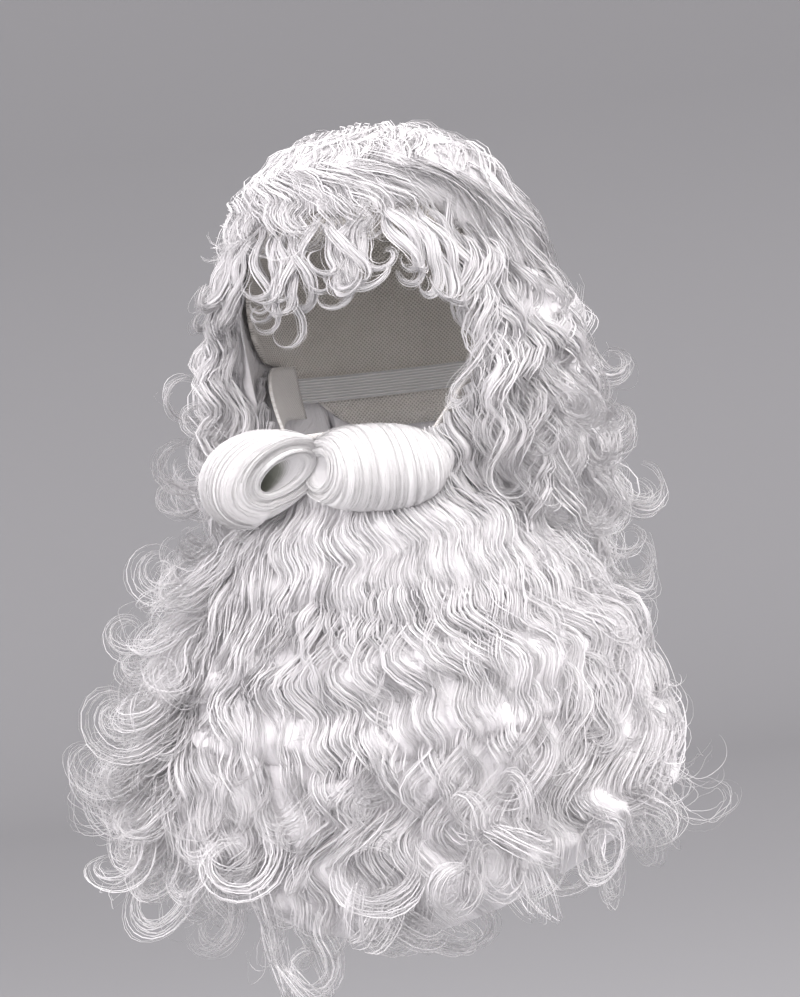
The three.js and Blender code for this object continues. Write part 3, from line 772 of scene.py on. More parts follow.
# %% Closed meshes from rings
def mesh_of_rings(name, rings, closed, attributes):
    """A mesh through rings of points. closed says whether its two ends are filled."""
    count, around = rings.shape[:2]
    index = np.arange(count * around).reshape(count, around)
    following = np.roll(index, -1, 1)
    quads = np.stack([index[:-1], following[:-1], following[1:], index[1:]], -1).reshape(-1, 4)
    faces = quads.tolist()
    if closed:
        faces += [index[0, ::-1].tolist(), index[-1].tolist()]
    mesh = bpy.data.meshes.new(name)
    mesh.from_pydata(rings.reshape(-1, 3).tolist(), [], faces)
    for key, values in attributes.items():
        attribute = mesh.attributes.new(key, "FLOAT", "POINT")
        spread = np.broadcast_to(values, (count, around))
        attribute.data.foreach_set("value", spread.astype(np.float32).ravel())
    mesh.update()
    turn_outwards(mesh)
    mesh.shade_smooth()
    return mesh


def turn_outwards(mesh):
    """Flips a closed mesh whose faces point inwards."""
    mesh.calc_loop_triangles()
    triangles = np.empty(len(mesh.loop_triangles) * 3, np.int32)
    mesh.loop_triangles.foreach_get("vertices", triangles)
    a, b, c = corners_of(mesh)[triangles.reshape(-1, 3)].transpose(1, 0, 2)
    if np.sum(a * np.cross(b, c)) < 0:
        mesh.flip_normals()


# %% [markdown]
# Synthetic hair is white with a cool grey in its shade, and satin rather than glossy. Its fibres are finer
# than any strand modelled here, so they are a bump and a tint: noise drawn out along each strand, which reads
# how far round and how far along the strand a point is. Every strand also has its own random tone.
# Lower tints are painted shade: lock bodies get lower ones than their strands, and the rolls' holes go below
# 0.

# %% Hair's finish
LANE_SCALES = {"around": 34.0, "tint_and_shade": 60.0, "reach": 26.0}
TUFT_SCALE = 0.3
PATCH_SCALE = 18.0
SHADE_PLACE = 0.2
LIGHT_PLACE = 0.85


def own_value(tree, label):
    """What the piece's mesh carries under a name."""
    return add(tree, "ShaderNodeAttribute", attribute_name=label).outputs["Fac"]


def bump_shader(tree, shader, height, strength, depth):
    bump = add(tree, "ShaderNodeBump", {"Height": height, "Strength": strength, "Distance": depth})
    tree.links.new(bump.outputs[0], shader.inputs["Normal"])


def colour_shader(tree, shader, tone, stops):
    """Colours the shader by a tone. stops are pairs of a tone and its colour, from low to high."""
    ramp = add(tree, "ShaderNodeValToRGB", {0: tone})
    elements = ramp.color_ramp.elements
    for element, (place, colour) in zip(elements, (stops[0], stops[-1])):
        element.position = place
        element.color = (*colour, 1)
    for place, colour in stops[1:-1]:
        elements.new(place).color = (*colour, 1)
    tree.links.new(ramp.outputs[0], shader.inputs["Base Color"])


def hair_finish(name, light, shade, deep_shade, roughness, fibre_depth):
    """The deep colour is painted shade inside the rolls' holes, where the tint is below 0."""
    material, tree, shader = new_material(name)
    drawn_out = [product(tree, own_value(tree, key), scale) for key, scale in LANE_SCALES.items()]
    lanes = add(tree, "ShaderNodeCombineXYZ", dict(enumerate(drawn_out))).outputs[0]
    fibres = noise(tree, lanes, 1.0, 3.0, 0.6)["Fac"]
    tufts = noise(tree, scaled(tree, lanes, TUFT_SCALE), 1.0, 1.0)["Fac"]
    bump_shader(tree, shader, maths(tree, "ADD", fibres, product(tree, tufts, 1.2)), 0.9, fibre_depth)

    coords = add(tree, "ShaderNodeTexCoord").outputs["Object"]
    patches = noise(tree, coords, PATCH_SCALE, 2.0)["Fac"]
    # The tint is each strand's random tone, and painted shade in the lock bodies and the rolls' holes.
    own = product(tree, own_value(tree, "tint_and_shade"), 0.55)
    streaked = maths(tree, "ADD", own, product(tree, fibres, 0.5))
    tone = maths(tree, "ADD", streaked, product(tree, patches, 0.2))
    colour_shader(tree, shader, tone, ((0.0, deep_shade), (SHADE_PLACE, shade), (LIGHT_PLACE, light)))
    shader.inputs["Roughness"].default_value = roughness
    shader.inputs["Specular IOR Level"].default_value = 0.45
    shader.inputs["Sheen Weight"].default_value = 0.08
    shader.inputs["Sheen Roughness"].default_value = 0.4
    return material


CURLED_HAIR = hair_finish("curled_hair", light=(0.975, 0.965, 0.97), shade=(0.88, 0.865, 0.885),
                          deep_shade=(0.6, 0.6, 0.6), roughness=0.42, fibre_depth=0.0012)
# Darker colours than the curled hair's are painted shade, for the same white hair; the gloss is its own.
ROLLED_HAIR = hair_finish("rolled_hair", light=(0.90, 0.895, 0.89), shade=(0.83, 0.82, 0.825),
                          deep_shade=(0.30, 0.31, 0.27), roughness=0.30, fibre_depth=0.00025)
print("finishes:", [material.name for material in bpy.data.materials])

# %% [markdown]
# What the hair is sewn to shows through the face's opening and from below: a net cap, a jaw cloth, an elastic
# and a strip over the lip. Each is a thin closed wall over the head's surface, with a folded hem along its
# edges. Net is two sets of threads that cross on the slant, and elastic has cords along it. Both are drawn in
# the material from how far round and how far down a point lies, in metres, and stand out as bump. The hollows
# between threads are darker, as painted shade.

# %% Cloth finishes
FUZZ_SCALE = 900.0
WEAR_SCALE = 26.0
CLOTH_ROUGHNESS = 0.85


def cloth_finish(name, thread, hollow_shade_and_wear, pitch, depth, slanted):
    """slanted is 1 for a net and 0 for cords that run along a band."""
    material, tree, shader = new_material(name)
    turns = 2 * math.pi / pitch
    across = product(tree, own_value(tree, "around"), turns, slanted)
    down = product(tree, own_value(tree, "reach"), turns)
    first = maths(tree, "SINE", maths(tree, "ADD", down, across))
    second = maths(tree, "SINE", maths(tree, "SUBTRACT", down, across))
    threads = maths(tree, "MAXIMUM", first, second)
    coords = add(tree, "ShaderNodeTexCoord").outputs["Object"]
    fuzz = noise(tree, coords, FUZZ_SCALE, 2.0)["Fac"]
    wear = noise(tree, coords, WEAR_SCALE, 3.0)["Fac"]
    bump_shader(tree, shader, maths(tree, "ADD", threads, product(tree, fuzz, 0.6)), 0.7, depth)
    # Low places between threads take the darker colour: painted shade. Wear adds a random tone over it.
    tone = maths(tree, "ADD", product(tree, threads, 0.4), product(tree, wear, 0.7))
    colour_shader(tree, shader, tone, ((0.1, hollow_shade_and_wear), (0.7, thread)))
    shader.inputs["Roughness"].default_value = CLOTH_ROUGHNESS
    shader.inputs["Sheen Weight"].default_value = 0.2
    return material


NET_CLOTH = cloth_finish("net_thread", thread=(0.84, 0.81, 0.76), hollow_shade_and_wear=(0.52, 0.49, 0.45),
                         pitch=0.0026, depth=0.0005, slanted=1.0)
KNITTED_CLOTH = cloth_finish("knitted_cloth", thread=(0.88, 0.86, 0.83), hollow_shade_and_wear=(0.70, 0.67, 0.63),
                             pitch=0.0016, depth=0.0003, slanted=0.6)
ELASTIC = cloth_finish("ribbed_elastic", thread=(0.90, 0.90, 0.89), hollow_shade_and_wear=(0.66, 0.66, 0.66),
                       pitch=0.0018, depth=0.0004, slanted=0.0)

# %% Cap, jaw cloth, elastic and lip strip
CLOTH_WALL = 0.0016
CLOTH_GAP = 0.0003
STRAP_WALL = 0.0012
STRAP_DROP = 0.140
STRAP_WIDTH = 0.016
LIP_DROP = 0.179
LIP_HEIGHT = 0.018
HEM = 0.0006
EAR_RADIUS = 0.085
CLOTH_OVER = CLOTH_WALL + 1.2 * CLOTH_GAP


def cap_mesh(name):
    """The cap: a wall from the crown down to its rim, and back up inside."""
    turn = np.linspace(0, 2 * np.pi, 84, endpoint=False)[None, :]
    share = np.linspace(0.03, 1.0, 28)[:, None]
    drop = cap_rim(turn) * share**2
    hem = HEM * smoothstep(share, 0.93, 0.96)
    outside = over_cap(turn, drop, CAP_WALL + hem)
    inside = over_cap(turn, drop[::-1], 0 * drop)
    rings = np.concatenate([outside, inside])
    around = np.broadcast_to(np.abs(turn - np.pi) * EAR_RADIUS, rings.shape[:2])
    reach = np.concatenate([drop, drop[::-1]])
    return mesh_of_rings(name, rings, True, {"around": around, "reach": reach})


def band_mesh(name, turns, top, bottom, inside, wall, columns):
    """A band over the skin from one turn to another, between two depths."""
    turn = np.radians(np.linspace(*turns, columns))[:, None]
    share = np.linspace(0, 1, 12)[None, :]
    drop = mix(top(turn), bottom(turn), share)
    hem = HEM * smoothstep(np.abs(2 * share - 1), 0.72, 0.86)
    outside = over_skin(turn, drop, inside + wall + hem)
    inner = over_skin(turn, drop, inside)
    rings = np.concatenate([outside, inner[:, ::-1]], 1)
    around = np.broadcast_to(turn * EAR_RADIUS, rings.shape[:2])
    reach = np.concatenate([drop, drop[:, ::-1]], 1)
    return mesh_of_rings(name, rings, True, {"around": around, "reach": reach})


def even_depth(drop, rounded=0.0):
    """A depth that is the same all the way, or moves by rounded towards the band's ends."""
    return lambda turn: drop + rounded * smoothstep(np.abs(turn), np.radians(20), np.radians(38))


jaw = band_mesh("beard_base_cloth", (-100, 100), jaw_top, jaw_bottom, 0.0, CLOTH_WALL, 80)
strap = band_mesh("beard_strap_elastic", (90, 270), even_depth(STRAP_DROP - STRAP_WIDTH / 2),
                  even_depth(STRAP_DROP + STRAP_WIDTH / 2), CLOTH_OVER, STRAP_WALL, 110)
lip = band_mesh("moustache_base_cloth", (-38, 38), even_depth(LIP_DROP - LIP_HEIGHT / 2, 0.006),
                even_depth(LIP_DROP + LIP_HEIGHT / 2, -0.004), CLOTH_OVER, CLOTH_WALL, 50)
cloths = {
    "wig_cap": (cap_mesh("wig_cap_net"), NET_CLOTH, "net_cloth"),
    "beard_base": (jaw, KNITTED_CLOTH, "net_cloth"),
    "beard_strap": (strap, ELASTIC, "elastic"),
    "moustache_base": (lip, KNITTED_CLOTH, "net_cloth"),
}
for node, (mesh, finish, slot) in cloths.items():
    mesh.materials.append(finish)
    plain_piece(mesh.name, mesh, node)

# %% [markdown]
# Seen from a few steps away, dense hair is a sheet: locks lie side by side in it, with a valley between each
# two, and they all wave. So the first thing to make is a height map in code. It splits the sheet into lanes,
# one a lock, sways the lanes from side to side, rounds each one, and lets it rise and fall as it goes.
# Waves of all lanes keep nearly in step, because the hair was waved as one sheet. That gives its level bands
# of light.

# %% Sheets of combed hair
SPARE_LANES = 2
SHEET_TINT = 0.45
LANE_SHARE = 0.45


def either_way(chance, amount, count):
    """Random numbers from -amount to amount."""
    return amount * chance.uniform(-1, 1, count)


def varied(chance, amount, count):
    """Random factors that differ from 1 by up to amount."""
    return 1 + either_way(chance, amount, count)


def hair_sheet(lanes, wave, lift, groove, sway, seed, stray=0.14):
    """The sizes of a sheet of hair, and how much each of its locks differs from the others."""
    chance = np.random.default_rng(seed)
    total = lanes + 2 * SPARE_LANES
    return {
        "lanes": lanes,
        "wave": wave,
        "lift": lift,
        "groove": groove,
        "sway": sway,
        "phase": either_way(chance, stray, total),
        "stretch": varied(chance, 0.06, total),
        "proud": either_way(chance, 0.0020, total),
    }


def swayed(sheet, across, reach):
    """How far the locks have moved to the side, in lanes."""
    slow = np.sin(2 * np.pi * reach / (2.4 * sheet["wave"]) + 3.1 * across)
    quick = np.sin(2 * np.pi * reach / sheet["wave"] + 5.0 * across + 1.3)
    return sheet["sway"] * (slow + 0.6 * quick)


def lane_at(sheet, across, reach):
    """Which lane a place is in, with its share of that lane as the fraction. across runs from -1 to 1."""
    return (across + 1) / 2 * sheet["lanes"] + swayed(sheet, across, reach) + SPARE_LANES


def across_at(sheet, lane, reach):
    """Where a lane lies, from -1 to 1."""
    straight = 2 * (lane - SPARE_LANES) / sheet["lanes"] - 1
    return straight - 2 * swayed(sheet, straight, reach) / sheet["lanes"]


def hair_height(sheet, lane, reach):
    """How far the hair stands out at a place: rounded locks that rise and fall, with grooves between them."""
    lane = np.clip(lane, 0, sheet["lanes"] + 2 * SPARE_LANES - 0.001)
    own = lane.astype(int)
    aside = 2 * (lane - own) - 1
    dome = np.sqrt(1 - 0.97 * aside**2)
    crest = np.cos(2 * np.pi * (reach / (sheet["wave"] * sheet["stretch"][own]) + sheet["phase"][own]))
    strands = 0.00035 * np.cos(2 * np.pi * 5 * aside + 3 * crest)
    return sheet["groove"] * (dome - 1) + dome * (sheet["lift"] * crest + sheet["proud"][own]) + strands


def sheet_mesh(name, front, behind, lanes_across, reach):
    """A mesh from a front and a back, as rows of points that meet at their first and last rows."""
    rings = np.concatenate([front, behind[:, ::-1]], 1)
    step = np.linspace(0, 1, behind.shape[1])

    def round_it(rows):
        back = np.stack([np.interp(step, np.linspace(0, 1, len(row)), row) for row in rows])
        return np.concatenate([rows, back[:, ::-1]], 1)

    along = round_it(reach)
    values = {"around": round_it(lanes_across) * LANE_SHARE, "reach": along, "tint_and_shade": SHEET_TINT + 0 * along}
    mesh = mesh_of_rings(name, rings, False, values)
    mesh.materials.append(CURLED_HAIR)
    return mesh


# %% [markdown]
# The beard's three tiers hang over each other like shingles. Each is one sheet, thick in the middle, that
# starts under the tier above and tucks its end in. Over it lie rows of strands, lane by lane, so that they
# follow its locks. The first rows sink back into the sheet, and only the last ones end in the open and curl.

# %% The tiers' sheets
SHEET_COLUMNS = 184
BACK_COLUMNS = 64
SHEET_ROWS = 58
BEARD_TIERS = {
    "upper": {
        "node": "beard_upper_tier", "seed": 101, "from": 0.0, "to": 0.36, "tuck": 0.0, "back": 0.04,
        "rows": 3, "spacing": 0.095, "long": 0.27, "rise": 0.0, "strands": 24, "outer": 12,
        "curl": 0.010, "turns": 0.30, "open": 0.2, "curl_steps": 6,
        "sheet": hair_sheet(24, 0.032, 0.0030, 0.0038, 0.34, 11, 0.2),
    },
    "middle": {
        "node": "beard_middle_tier", "seed": 102, "from": 0.22, "to": 0.66, "tuck": 0.5, "back": 0.08,
        "rows": 3, "spacing": 0.095, "long": 0.29, "rise": 0.0, "strands": 24, "outer": 20,
        "curl": 0.012, "turns": 0.60, "open": 0.4, "curl_steps": 12,
        "sheet": hair_sheet(22, 0.038, 0.0040, 0.0044, 0.42, 12, 0.22),
    },
    "lower": {
        "node": "beard_lower_tier", "seed": 103, "from": 0.50, "to": 0.98, "tuck": 0.5, "back": 0.12,
        "rows": 5, "spacing": 0.066, "long": 0.245, "rise": 0.03, "strands": 18, "outer": 22,
        "curl": 0.0115, "turns": 1.05, "open": 0.85, "curl_steps": 20,
        "sheet": hair_sheet(19, 0.044, 0.0046, 0.0052, 0.42, 13, 0.3),
    },
}
LOWEST_TIP = 0.975


def edge_round(across):
    """1 over most of a sheet's width, and down to nearly 0 in a rounded turn at its two edges."""
    share = across / np.where(across < 0, *EDGES)
    return np.sqrt(np.clip(1 - np.abs(share) ** 6, 0.02, 1))


def tier_rise(tier, across, share):
    """How far the front of a tier's sheet stands out. share runs down the tier."""
    down = round_end(across, mix(tier["from"], tier["to"], share))
    tucked = tier["tuck"] * (1 - smoothstep(share, 0, 0.35)) + 0.7 * smoothstep(share, 0.84, 1)
    return beard_rise(across, down) * BODY_SHARE * (1 - tucked) * edge_round(across)


def sheet_rows(rows):
    """Shares down a sheet, closer together at its two ends."""
    step = np.linspace(0, 1, rows)[:, None]
    return mix(step, 0.5 - 0.5 * np.cos(np.pi * step), 0.75)


def end_round(share):
    """1 over most of a sheet's length, and down to 0 in a rounded turn at its two ends."""
    near = np.minimum(share / 0.05, (1 - share) / 0.08)
    return np.sqrt(np.clip(1 - np.clip(1 - near, 0, 1) ** 2, 0, 1))


def tier_sheet(tier):
    """A tier's sheet: a front with its locks in relief, and a plainer back."""
    sheet = tier["sheet"]
    share = sheet_rows(SHEET_ROWS)
    across = np.linspace(*EDGES, SHEET_COLUMNS)[None, :]
    down = round_end(across, mix(tier["from"], tier["to"], share))
    reach = down * BEARD_LENGTH
    lane = lane_at(sheet, across, reach)
    shown = smoothstep(share, 0, 0.12) * (1 - 0.5 * smoothstep(share, 0.85, 1))
    base = tier["back"] * beard_rise(across, down)
    height = tier_rise(tier, across, share) + shown * hair_height(sheet, lane, reach)
    front = over_beard(across, down, mix(base, np.maximum(height, base), end_round(share)))
    back_across = np.linspace(*EDGES, BACK_COLUMNS)[None, :]
    back_down = round_end(back_across, mix(tier["from"], tier["to"], share))
    back_reach = back_down * BEARD_LENGTH
    back_hair = hair_height(sheet, lane_at(sheet, back_across, back_reach), back_reach)
    back_height = 0.7 * shown * end_round(share) * back_hair
    depth = tier["back"] * beard_rise(back_across, back_down) - back_height
    behind = over_beard(back_across, back_down, depth)
    return sheet_mesh(tier["node"] + "_mass", front, behind, lane, reach)


for tier in BEARD_TIERS.values():
    plain_piece(tier["node"] + "_mass", tier_sheet(tier), tier["node"])

# %% The tiers' strands
TIER_STEPS = 20
CURL_STEPS = 18
OUTER_SEED = 50
BACK_SEED = 80


def tier_locks(tier):
    """The guides of one tier, row by row, each along a lane of its sheet."""
    chance = np.random.default_rng(tier["seed"])
    sheet, rows = tier["sheet"], tier["rows"]
    row = np.repeat(np.arange(rows), sheet["lanes"])
    total = len(row)
    lane = SPARE_LANES + np.tile(np.arange(sheet["lanes"]), rows) + 0.5 + either_way(chance, 0.25, total)
    side = across_at(sheet, lane, 0.0)
    begin = tier["from"] + tier["spacing"] * (row + either_way(chance, 0.5, total))
    finish = begin + tier["long"] * varied(chance, 0.14, total)
    finish = np.minimum(finish, LOWEST_TIP) - tier["rise"] * smoothstep(side, -0.3, 0.5)
    share = np.linspace(0, 1, TIER_STEPS)[None, :]
    level = mix(begin[:, None], finish[:, None], share)
    reach = round_end(side[:, None], level) * BEARD_LENGTH
    across = np.clip(across_at(sheet, lane[:, None], reach), -1.02, 0.96)
    down = round_end(across, level)
    opened = tier["open"] + 0.6 * (row == rows - 1) + either_way(chance, 0.3, total)
    opened = np.clip(opened, 0, 1)[:, None]
    sunk = (1 - opened) * smoothstep(share, 0.7, 1)
    proud = 0.0006 - 0.007 * (1 - smoothstep(share, 0, 0.18)) + 0.005 * share * opened - 0.012 * sunk
    body = beard_rise(across, down) * BODY_SHARE * edge_round(across)
    height = hair_height(sheet, lane[:, None] + 0 * reach, reach)
    path = over_beard(across, down, body + height + proud)
    out = beard_out(across, down)
    radius = tier["curl"] * np.exp(either_way(chance, 0.5, total))
    turns = tier["turns"] * varied(chance, 0.4, total)
    outwards = 3 * np.minimum(side, 0) - 2.5 * smoothstep(side, 0.6, 0.9)
    lean = np.radians(85) * np.clip(outwards + either_way(chance, 1.3, total), -1, 1)
    drift = either_way(chance, 0.22, total)
    path = curled(path, out[:, -1], radius, turns, lean, drift, tier["curl_steps"])
    width = 0.0078 * varied(chance, 0.3, total)
    return as_locks(path, out[:, 0], width, width * 0.34)


def outer_locks(tier):
    """Locks that leave the tier's left side and stand off it, one below the other."""
    chance = np.random.default_rng(tier["seed"] + OUTER_SEED)
    count = tier["outer"]
    order = np.linspace(0, 1, count)
    begin = mix(tier["from"] + 0.04, tier["to"] - 0.22, order) + either_way(chance, 0.03, count)
    across = -chance.uniform(0.66, 0.99, count)
    share = np.linspace(0, 1, 12)[None, :]
    level = begin[:, None] + 0.17 * share
    across = across[:, None] - 0.02 * share
    down = round_end(across, level)
    off = 0.006 + 0.024 * share * chance.uniform(0.3, 1.2, count)[:, None]
    spine = over_beard(across, down, beard_rise(across, down) * 0.5 + off)
    out = beard_out(across, down)
    phase = down * BEARD_LENGTH / tier["sheet"]["wave"] + either_way(chance, 0.5, count)[:, None]
    path = waved(spine, out, phase, 0.0055, 0.004)
    lean = np.radians(-70) * chance.uniform(-0.6, 1.4, count)
    radius = 0.011 * np.exp(either_way(chance, 0.3, count))
    turns = 0.9 * varied(chance, 0.4, count)
    path = curled(path, out[:, -1], radius, turns, lean, either_way(chance, 0.3, count), CURL_STEPS)
    width = 0.009 * varied(chance, 0.3, count)
    return as_locks(path, out[:, 0], width, width * 0.6)


def back_locks_of(tier):
    """Guides over the back of a tier, one a lane."""
    chance = np.random.default_rng(tier["seed"] + BACK_SEED)
    sheet = tier["sheet"]
    lane = SPARE_LANES + np.arange(sheet["lanes"]) + 0.5
    total = len(lane)
    share = np.linspace(0, 1, 18)[None, :]
    finish = tier["to"] - 0.01 + either_way(chance, 0.03, total)
    level = mix(tier["from"] + 0.01, finish[:, None], share)
    side = across_at(sheet, lane, 0.0)
    reach = round_end(side[:, None], level) * BEARD_LENGTH
    across = np.clip(across_at(sheet, lane[:, None], reach), -0.97, 0.94)
    down = round_end(across, level)
    hair = hair_height(sheet, lane[:, None] + 0 * reach, reach)
    height = tier["back"] * beard_rise(across, down) - 0.7 * hair
    path = over_beard(across, down, height - 0.0012)
    width = 0.0085 * varied(chance, 0.2, total)
    return as_locks(path, -beard_out(across, down)[:, 0], width, width * 0.15)


TIER_HAIR = {"Radius": 0.00038, "Spread": 1.4, "Twist": 0.16, "Frizz": 0.0034, "Uneven tips": 0.22,
             "Tilt": 0.6, "Finish": CURLED_HAIR}
BEHIND_HAIR = {"Strands per lock": 12, "Radius": 0.0005, "Spread": 1.1, "Twist": 0.1, "Frizz": 0.002,
               "Uneven tips": 0.15, "Tilt": 0.5, "Finish": CURLED_HAIR}
OUTER_HAIR = {"Strands per lock": 22, "Radius": 0.00036, "Spread": 1.3, "Twist": 0.2, "Frizz": 0.0035,
              "Uneven tips": 0.25, "Tilt": 0.9, "Finish": CURLED_HAIR}
for tier in BEARD_TIERS.values():
    inputs = {**TIER_HAIR, "Strands per lock": tier["strands"], "Seed": tier["seed"]}
    grown_piece(tier["node"] + "_strands", tier_locks(tier), COMBED, inputs, tier["node"])
for tier in BEARD_TIERS.values():
    node = tier["node"]
    inputs = {**BEHIND_HAIR, "Seed": tier["seed"] + BACK_SEED}
    grown_piece(node + "_back_strands", back_locks_of(tier), COMBED, inputs, node)
    inputs = {**OUTER_HAIR, "Seed": tier["seed"] + OUTER_SEED}
    grown_piece(node + "_outer_locks", outer_locks(tier), COMBED, inputs, node)

# %% [markdown]
# Round the beard's edge fine hairs stand off in wide loops. They are few and thin, and they soften the
# outline.

# %% Wisps round the beard
def edge_wisps(seed, sides, count):
    """Guides that leave the beard's edge sideways and loop. sides are -1, 1, or 0 for the tips."""
    chance = np.random.default_rng(seed)
    side = np.repeat(np.array(sides, float), count)
    total = len(side)
    tips = side == 0
    across = np.where(tips, either_way(chance, 0.9, total), side * chance.uniform(0.7, 0.93, total))
    level = np.where(tips, chance.uniform(0.86, 0.95, total), chance.uniform(0.14, 0.9, total))
    down = round_end(across, level)
    start = over_beard(across, down, beard_rise(across, down) * chance.uniform(0.2, 0.8, total))
    start = start + points(np.minimum(side, 0), np.minimum(side, 0), 0) * mix(0.004, 0.012, level)[:, None]
    out = beard_out(across, down)
    fall = -0.9 - either_way(chance, 0.4, total)
    way = points(np.where(tips, 0.5 * across, side), -0.25 + 0 * side, fall)
    long = chance.uniform(0.012, 0.028, total) * np.where(side > 0, 0.6, 1)
    step = np.linspace(-0.4, 1, 6)[None, :, None]
    path = start[:, None] + unit(way)[:, None] * step * long[:, None, None]
    hooked = np.where(tips, chance.uniform(-1, 1, total), side * chance.uniform(0.2, 1.2, total))
    radius = chance.uniform(0.006, 0.015, total)
    turns = chance.uniform(0.5, 1.2, total)
    drift = either_way(chance, 0.35, total)
    path = curled(path, out, radius, turns, np.radians(90) * hooked, drift, 24)
    width = chance.uniform(0.004, 0.009, total)
    return as_locks(path, out, width, width)


WISPS = {"Strands per lock": 8, "Radius": 0.00026, "Spread": 1.5, "Twist": 0.6, "Frizz": 0.011,
         "Uneven tips": 0.5, "Tilt": 1.5, "Finish": CURLED_HAIR}
for node, seed, sides, count in (
    ("beard_middle_tier", 131, (-1, 1), 13),
    ("beard_lower_tier", 132, (-1, 0, 1), 8),
):
    locks = edge_wisps(seed, sides, count)
    grown_piece(node + "_wisps", locks, COMBED, {**WISPS, "Seed": seed}, node)

# %% [markdown]
# The cheeks' hair is short. It starts on the jaw cloth and falls over the ends of the moustache.

# %% Cheeks
CHEEK_HAIR = 0.016
CHEEK_ROOT = CLOTH_WALL + CLOTH_GAP + WEFT_WALL
CHIN_DROP = JAW_TOP[0]


def cheek_locks(side, seed):
    """Guides over one cheek, from beside the chin to the ear. Below the chin they hang straight down."""
    chance = np.random.default_rng(seed)
    count = 22
    order = np.linspace(0, 1, count)
    turn = side * np.radians(mix(34, 82, order) + either_way(chance, 3, count))
    begin = jaw_top(turn) - 0.003 + 0.012 * chance.uniform(0, 1, count)
    long = mix(0.040, 0.074, order) * varied(chance, 0.2, count)
    share = np.linspace(0, 1, 14)[None, :]
    drop = begin[:, None] + long[:, None] * share
    at = turn[:, None] + side * 0.06 * share
    full = (0.75 + 0.45 * chance.uniform(0, 1, count))[:, None]
    rise = CHEEK_ROOT + CHEEK_HAIR * np.sin(share * np.pi / 2) * full
    spine = over_skin(at, np.minimum(drop, CHIN_DROP), rise)
    spine[..., 2] -= np.clip(drop - CHIN_DROP, 0, None)
    out = skin_normal(at, CROWN_TO_TEMPLE + 0 * at)
    phase = -spine[..., 2] / 0.036 + either_way(chance, 0.2, count)[:, None]
    path = waved(spine, out, phase, 0.0035, 0.003)
    lean = side * np.radians(60) * varied(chance, 0.3, count)
    radius = 0.011 + either_way(chance, 0.004, count)
    turns = 0.5 + either_way(chance, 0.15, count)
    path = curled(path, out[:, -1], radius, turns, lean, either_way(chance, 0.2, count), 8)
    width = 0.010 * varied(chance, 0.2, count)
    return as_locks(path, out[:, 0], width, width * 0.55)


CHEEK_LOCKS = {"Body": 0.42, "Flatness": 0.5, "Ridges": 3, "Twist": 0.2, "Strands per lock": 26,
               "Strand radius": 0.00038, "Spread": 1.2, "Frizz": 0.0028, "Loose hairs": 2,
               "Loose frizz": 0.007, "Finish": CURLED_HAIR}
for side, name, seed in ((-1, "beard_cheek_left", 201), (1, "beard_cheek_right", 202)):
    grown_piece(name + "_locks", cheek_locks(side, seed), LOCKS, {**CHEEK_LOCKS, "Seed": seed}, name)

# %% [markdown]
# Each half of the moustache is combed straight and rolled, so its fibres lie side by side and shine as one
# sheet.
# A roll is a tube round a bent axis, open at its inner end. Its skin has the comb's fine furrows, and hair is
# laid over it: most goes over the top, down the front and under, and some winds round the open end.

# %% The rolls' shape
ROLL_RADIUS = 0.028
ROLL_HOLE = 0.009
ROLL_DROP = 0.193
ROLL_FRONT = 0.125
ROLL_SWEEP = 0.036
ROLLS = {
    "moustache_left_roll": {"side": -1, "inner": 0.043, "outer": 0.076, "slant": 0.022, "facing": 0.85,
                            "swell": 1.0, "seed": 301},
    "moustache_right_roll": {"side": 1, "inner": -0.005, "outer": 0.055, "slant": -0.003, "facing": 0.95,
                             "swell": 0.95, "seed": 302},
}
ROLL_WINDING = 0.1
ROLL_STATIONS = (0.0, 0.22, 0.55, 0.82, 1.0)
ROLL_ROUND = np.polyfit(ROLL_STATIONS, (0.78, 0.98, 1.0, 0.86, 0.5), 4)


def roll_frame(roll, along):
    """The axis of a roll: its points, its direction, and the level way to the front."""
    side = roll["side"]
    middle = mix(roll["inner"], roll["outer"], 0.6)
    first = np.array((side * roll["inner"], -ROLL_FRONT, -ROLL_DROP))
    second = np.array((side * middle, -ROLL_FRONT + 0.004, -ROLL_DROP - 0.001))
    third = np.array((side * roll["outer"], -ROLL_FRONT + ROLL_SWEEP, -ROLL_DROP - 0.005))
    t = np.asarray(along, float)[..., None]
    centre = (1 - t) ** 2 * first + 2 * t * (1 - t) * second + t**2 * third
    tangent = unit(2 * (1 - t) * (second - first) + 2 * t * (third - second))
    level = unit(points(tangent[..., 1], -tangent[..., 0], 0 * tangent[..., 0])) * side
    return centre, tangent, level


def wound_radius(roll, angle):
    """A roll's radius, which grows by a tenth once round, as in a scroll."""
    return ROLL_RADIUS * roll["swell"] * (1 - ROLL_WINDING * ((angle / (2 * np.pi) + 0.25) % 1))


def on_roll(roll, along, angle, radius, bulge=0.0):
    """Points round a roll's axis.

    The hair starts further in over a roll than under it, and the open end is turned to the front.
    """
    along, angle, radius, bulge = np.broadcast_arrays(along, angle, radius, bulge)
    centre, tangent, level = roll_frame(roll, along)
    left = np.clip(1 - along, 0, 1)
    turned = roll["facing"] * left**2 * np.cos(angle) * radius
    inwards = roll["slant"] * left * 0.5 * (1 + np.sin(angle)) - turned + bulge
    place = centre + level * (np.cos(angle) * radius)[..., None] - tangent * inwards[..., None]
    place[..., 2] += np.sin(angle) * radius
    return place


BULGE_PLACES = (0, 0.1, 0.26, 0.42, 0.55, 0.78, 1)
BULGES = (0, 0.0028, 0.0045, 0.0006, 0.0012, 0.0032, 0)


def end_bulge(face):
    """How far a roll's end stands out, from the hole to its outside: a ring, a valley and a rounded turn."""
    return np.interp(face, BULGE_PLACES, BULGES)


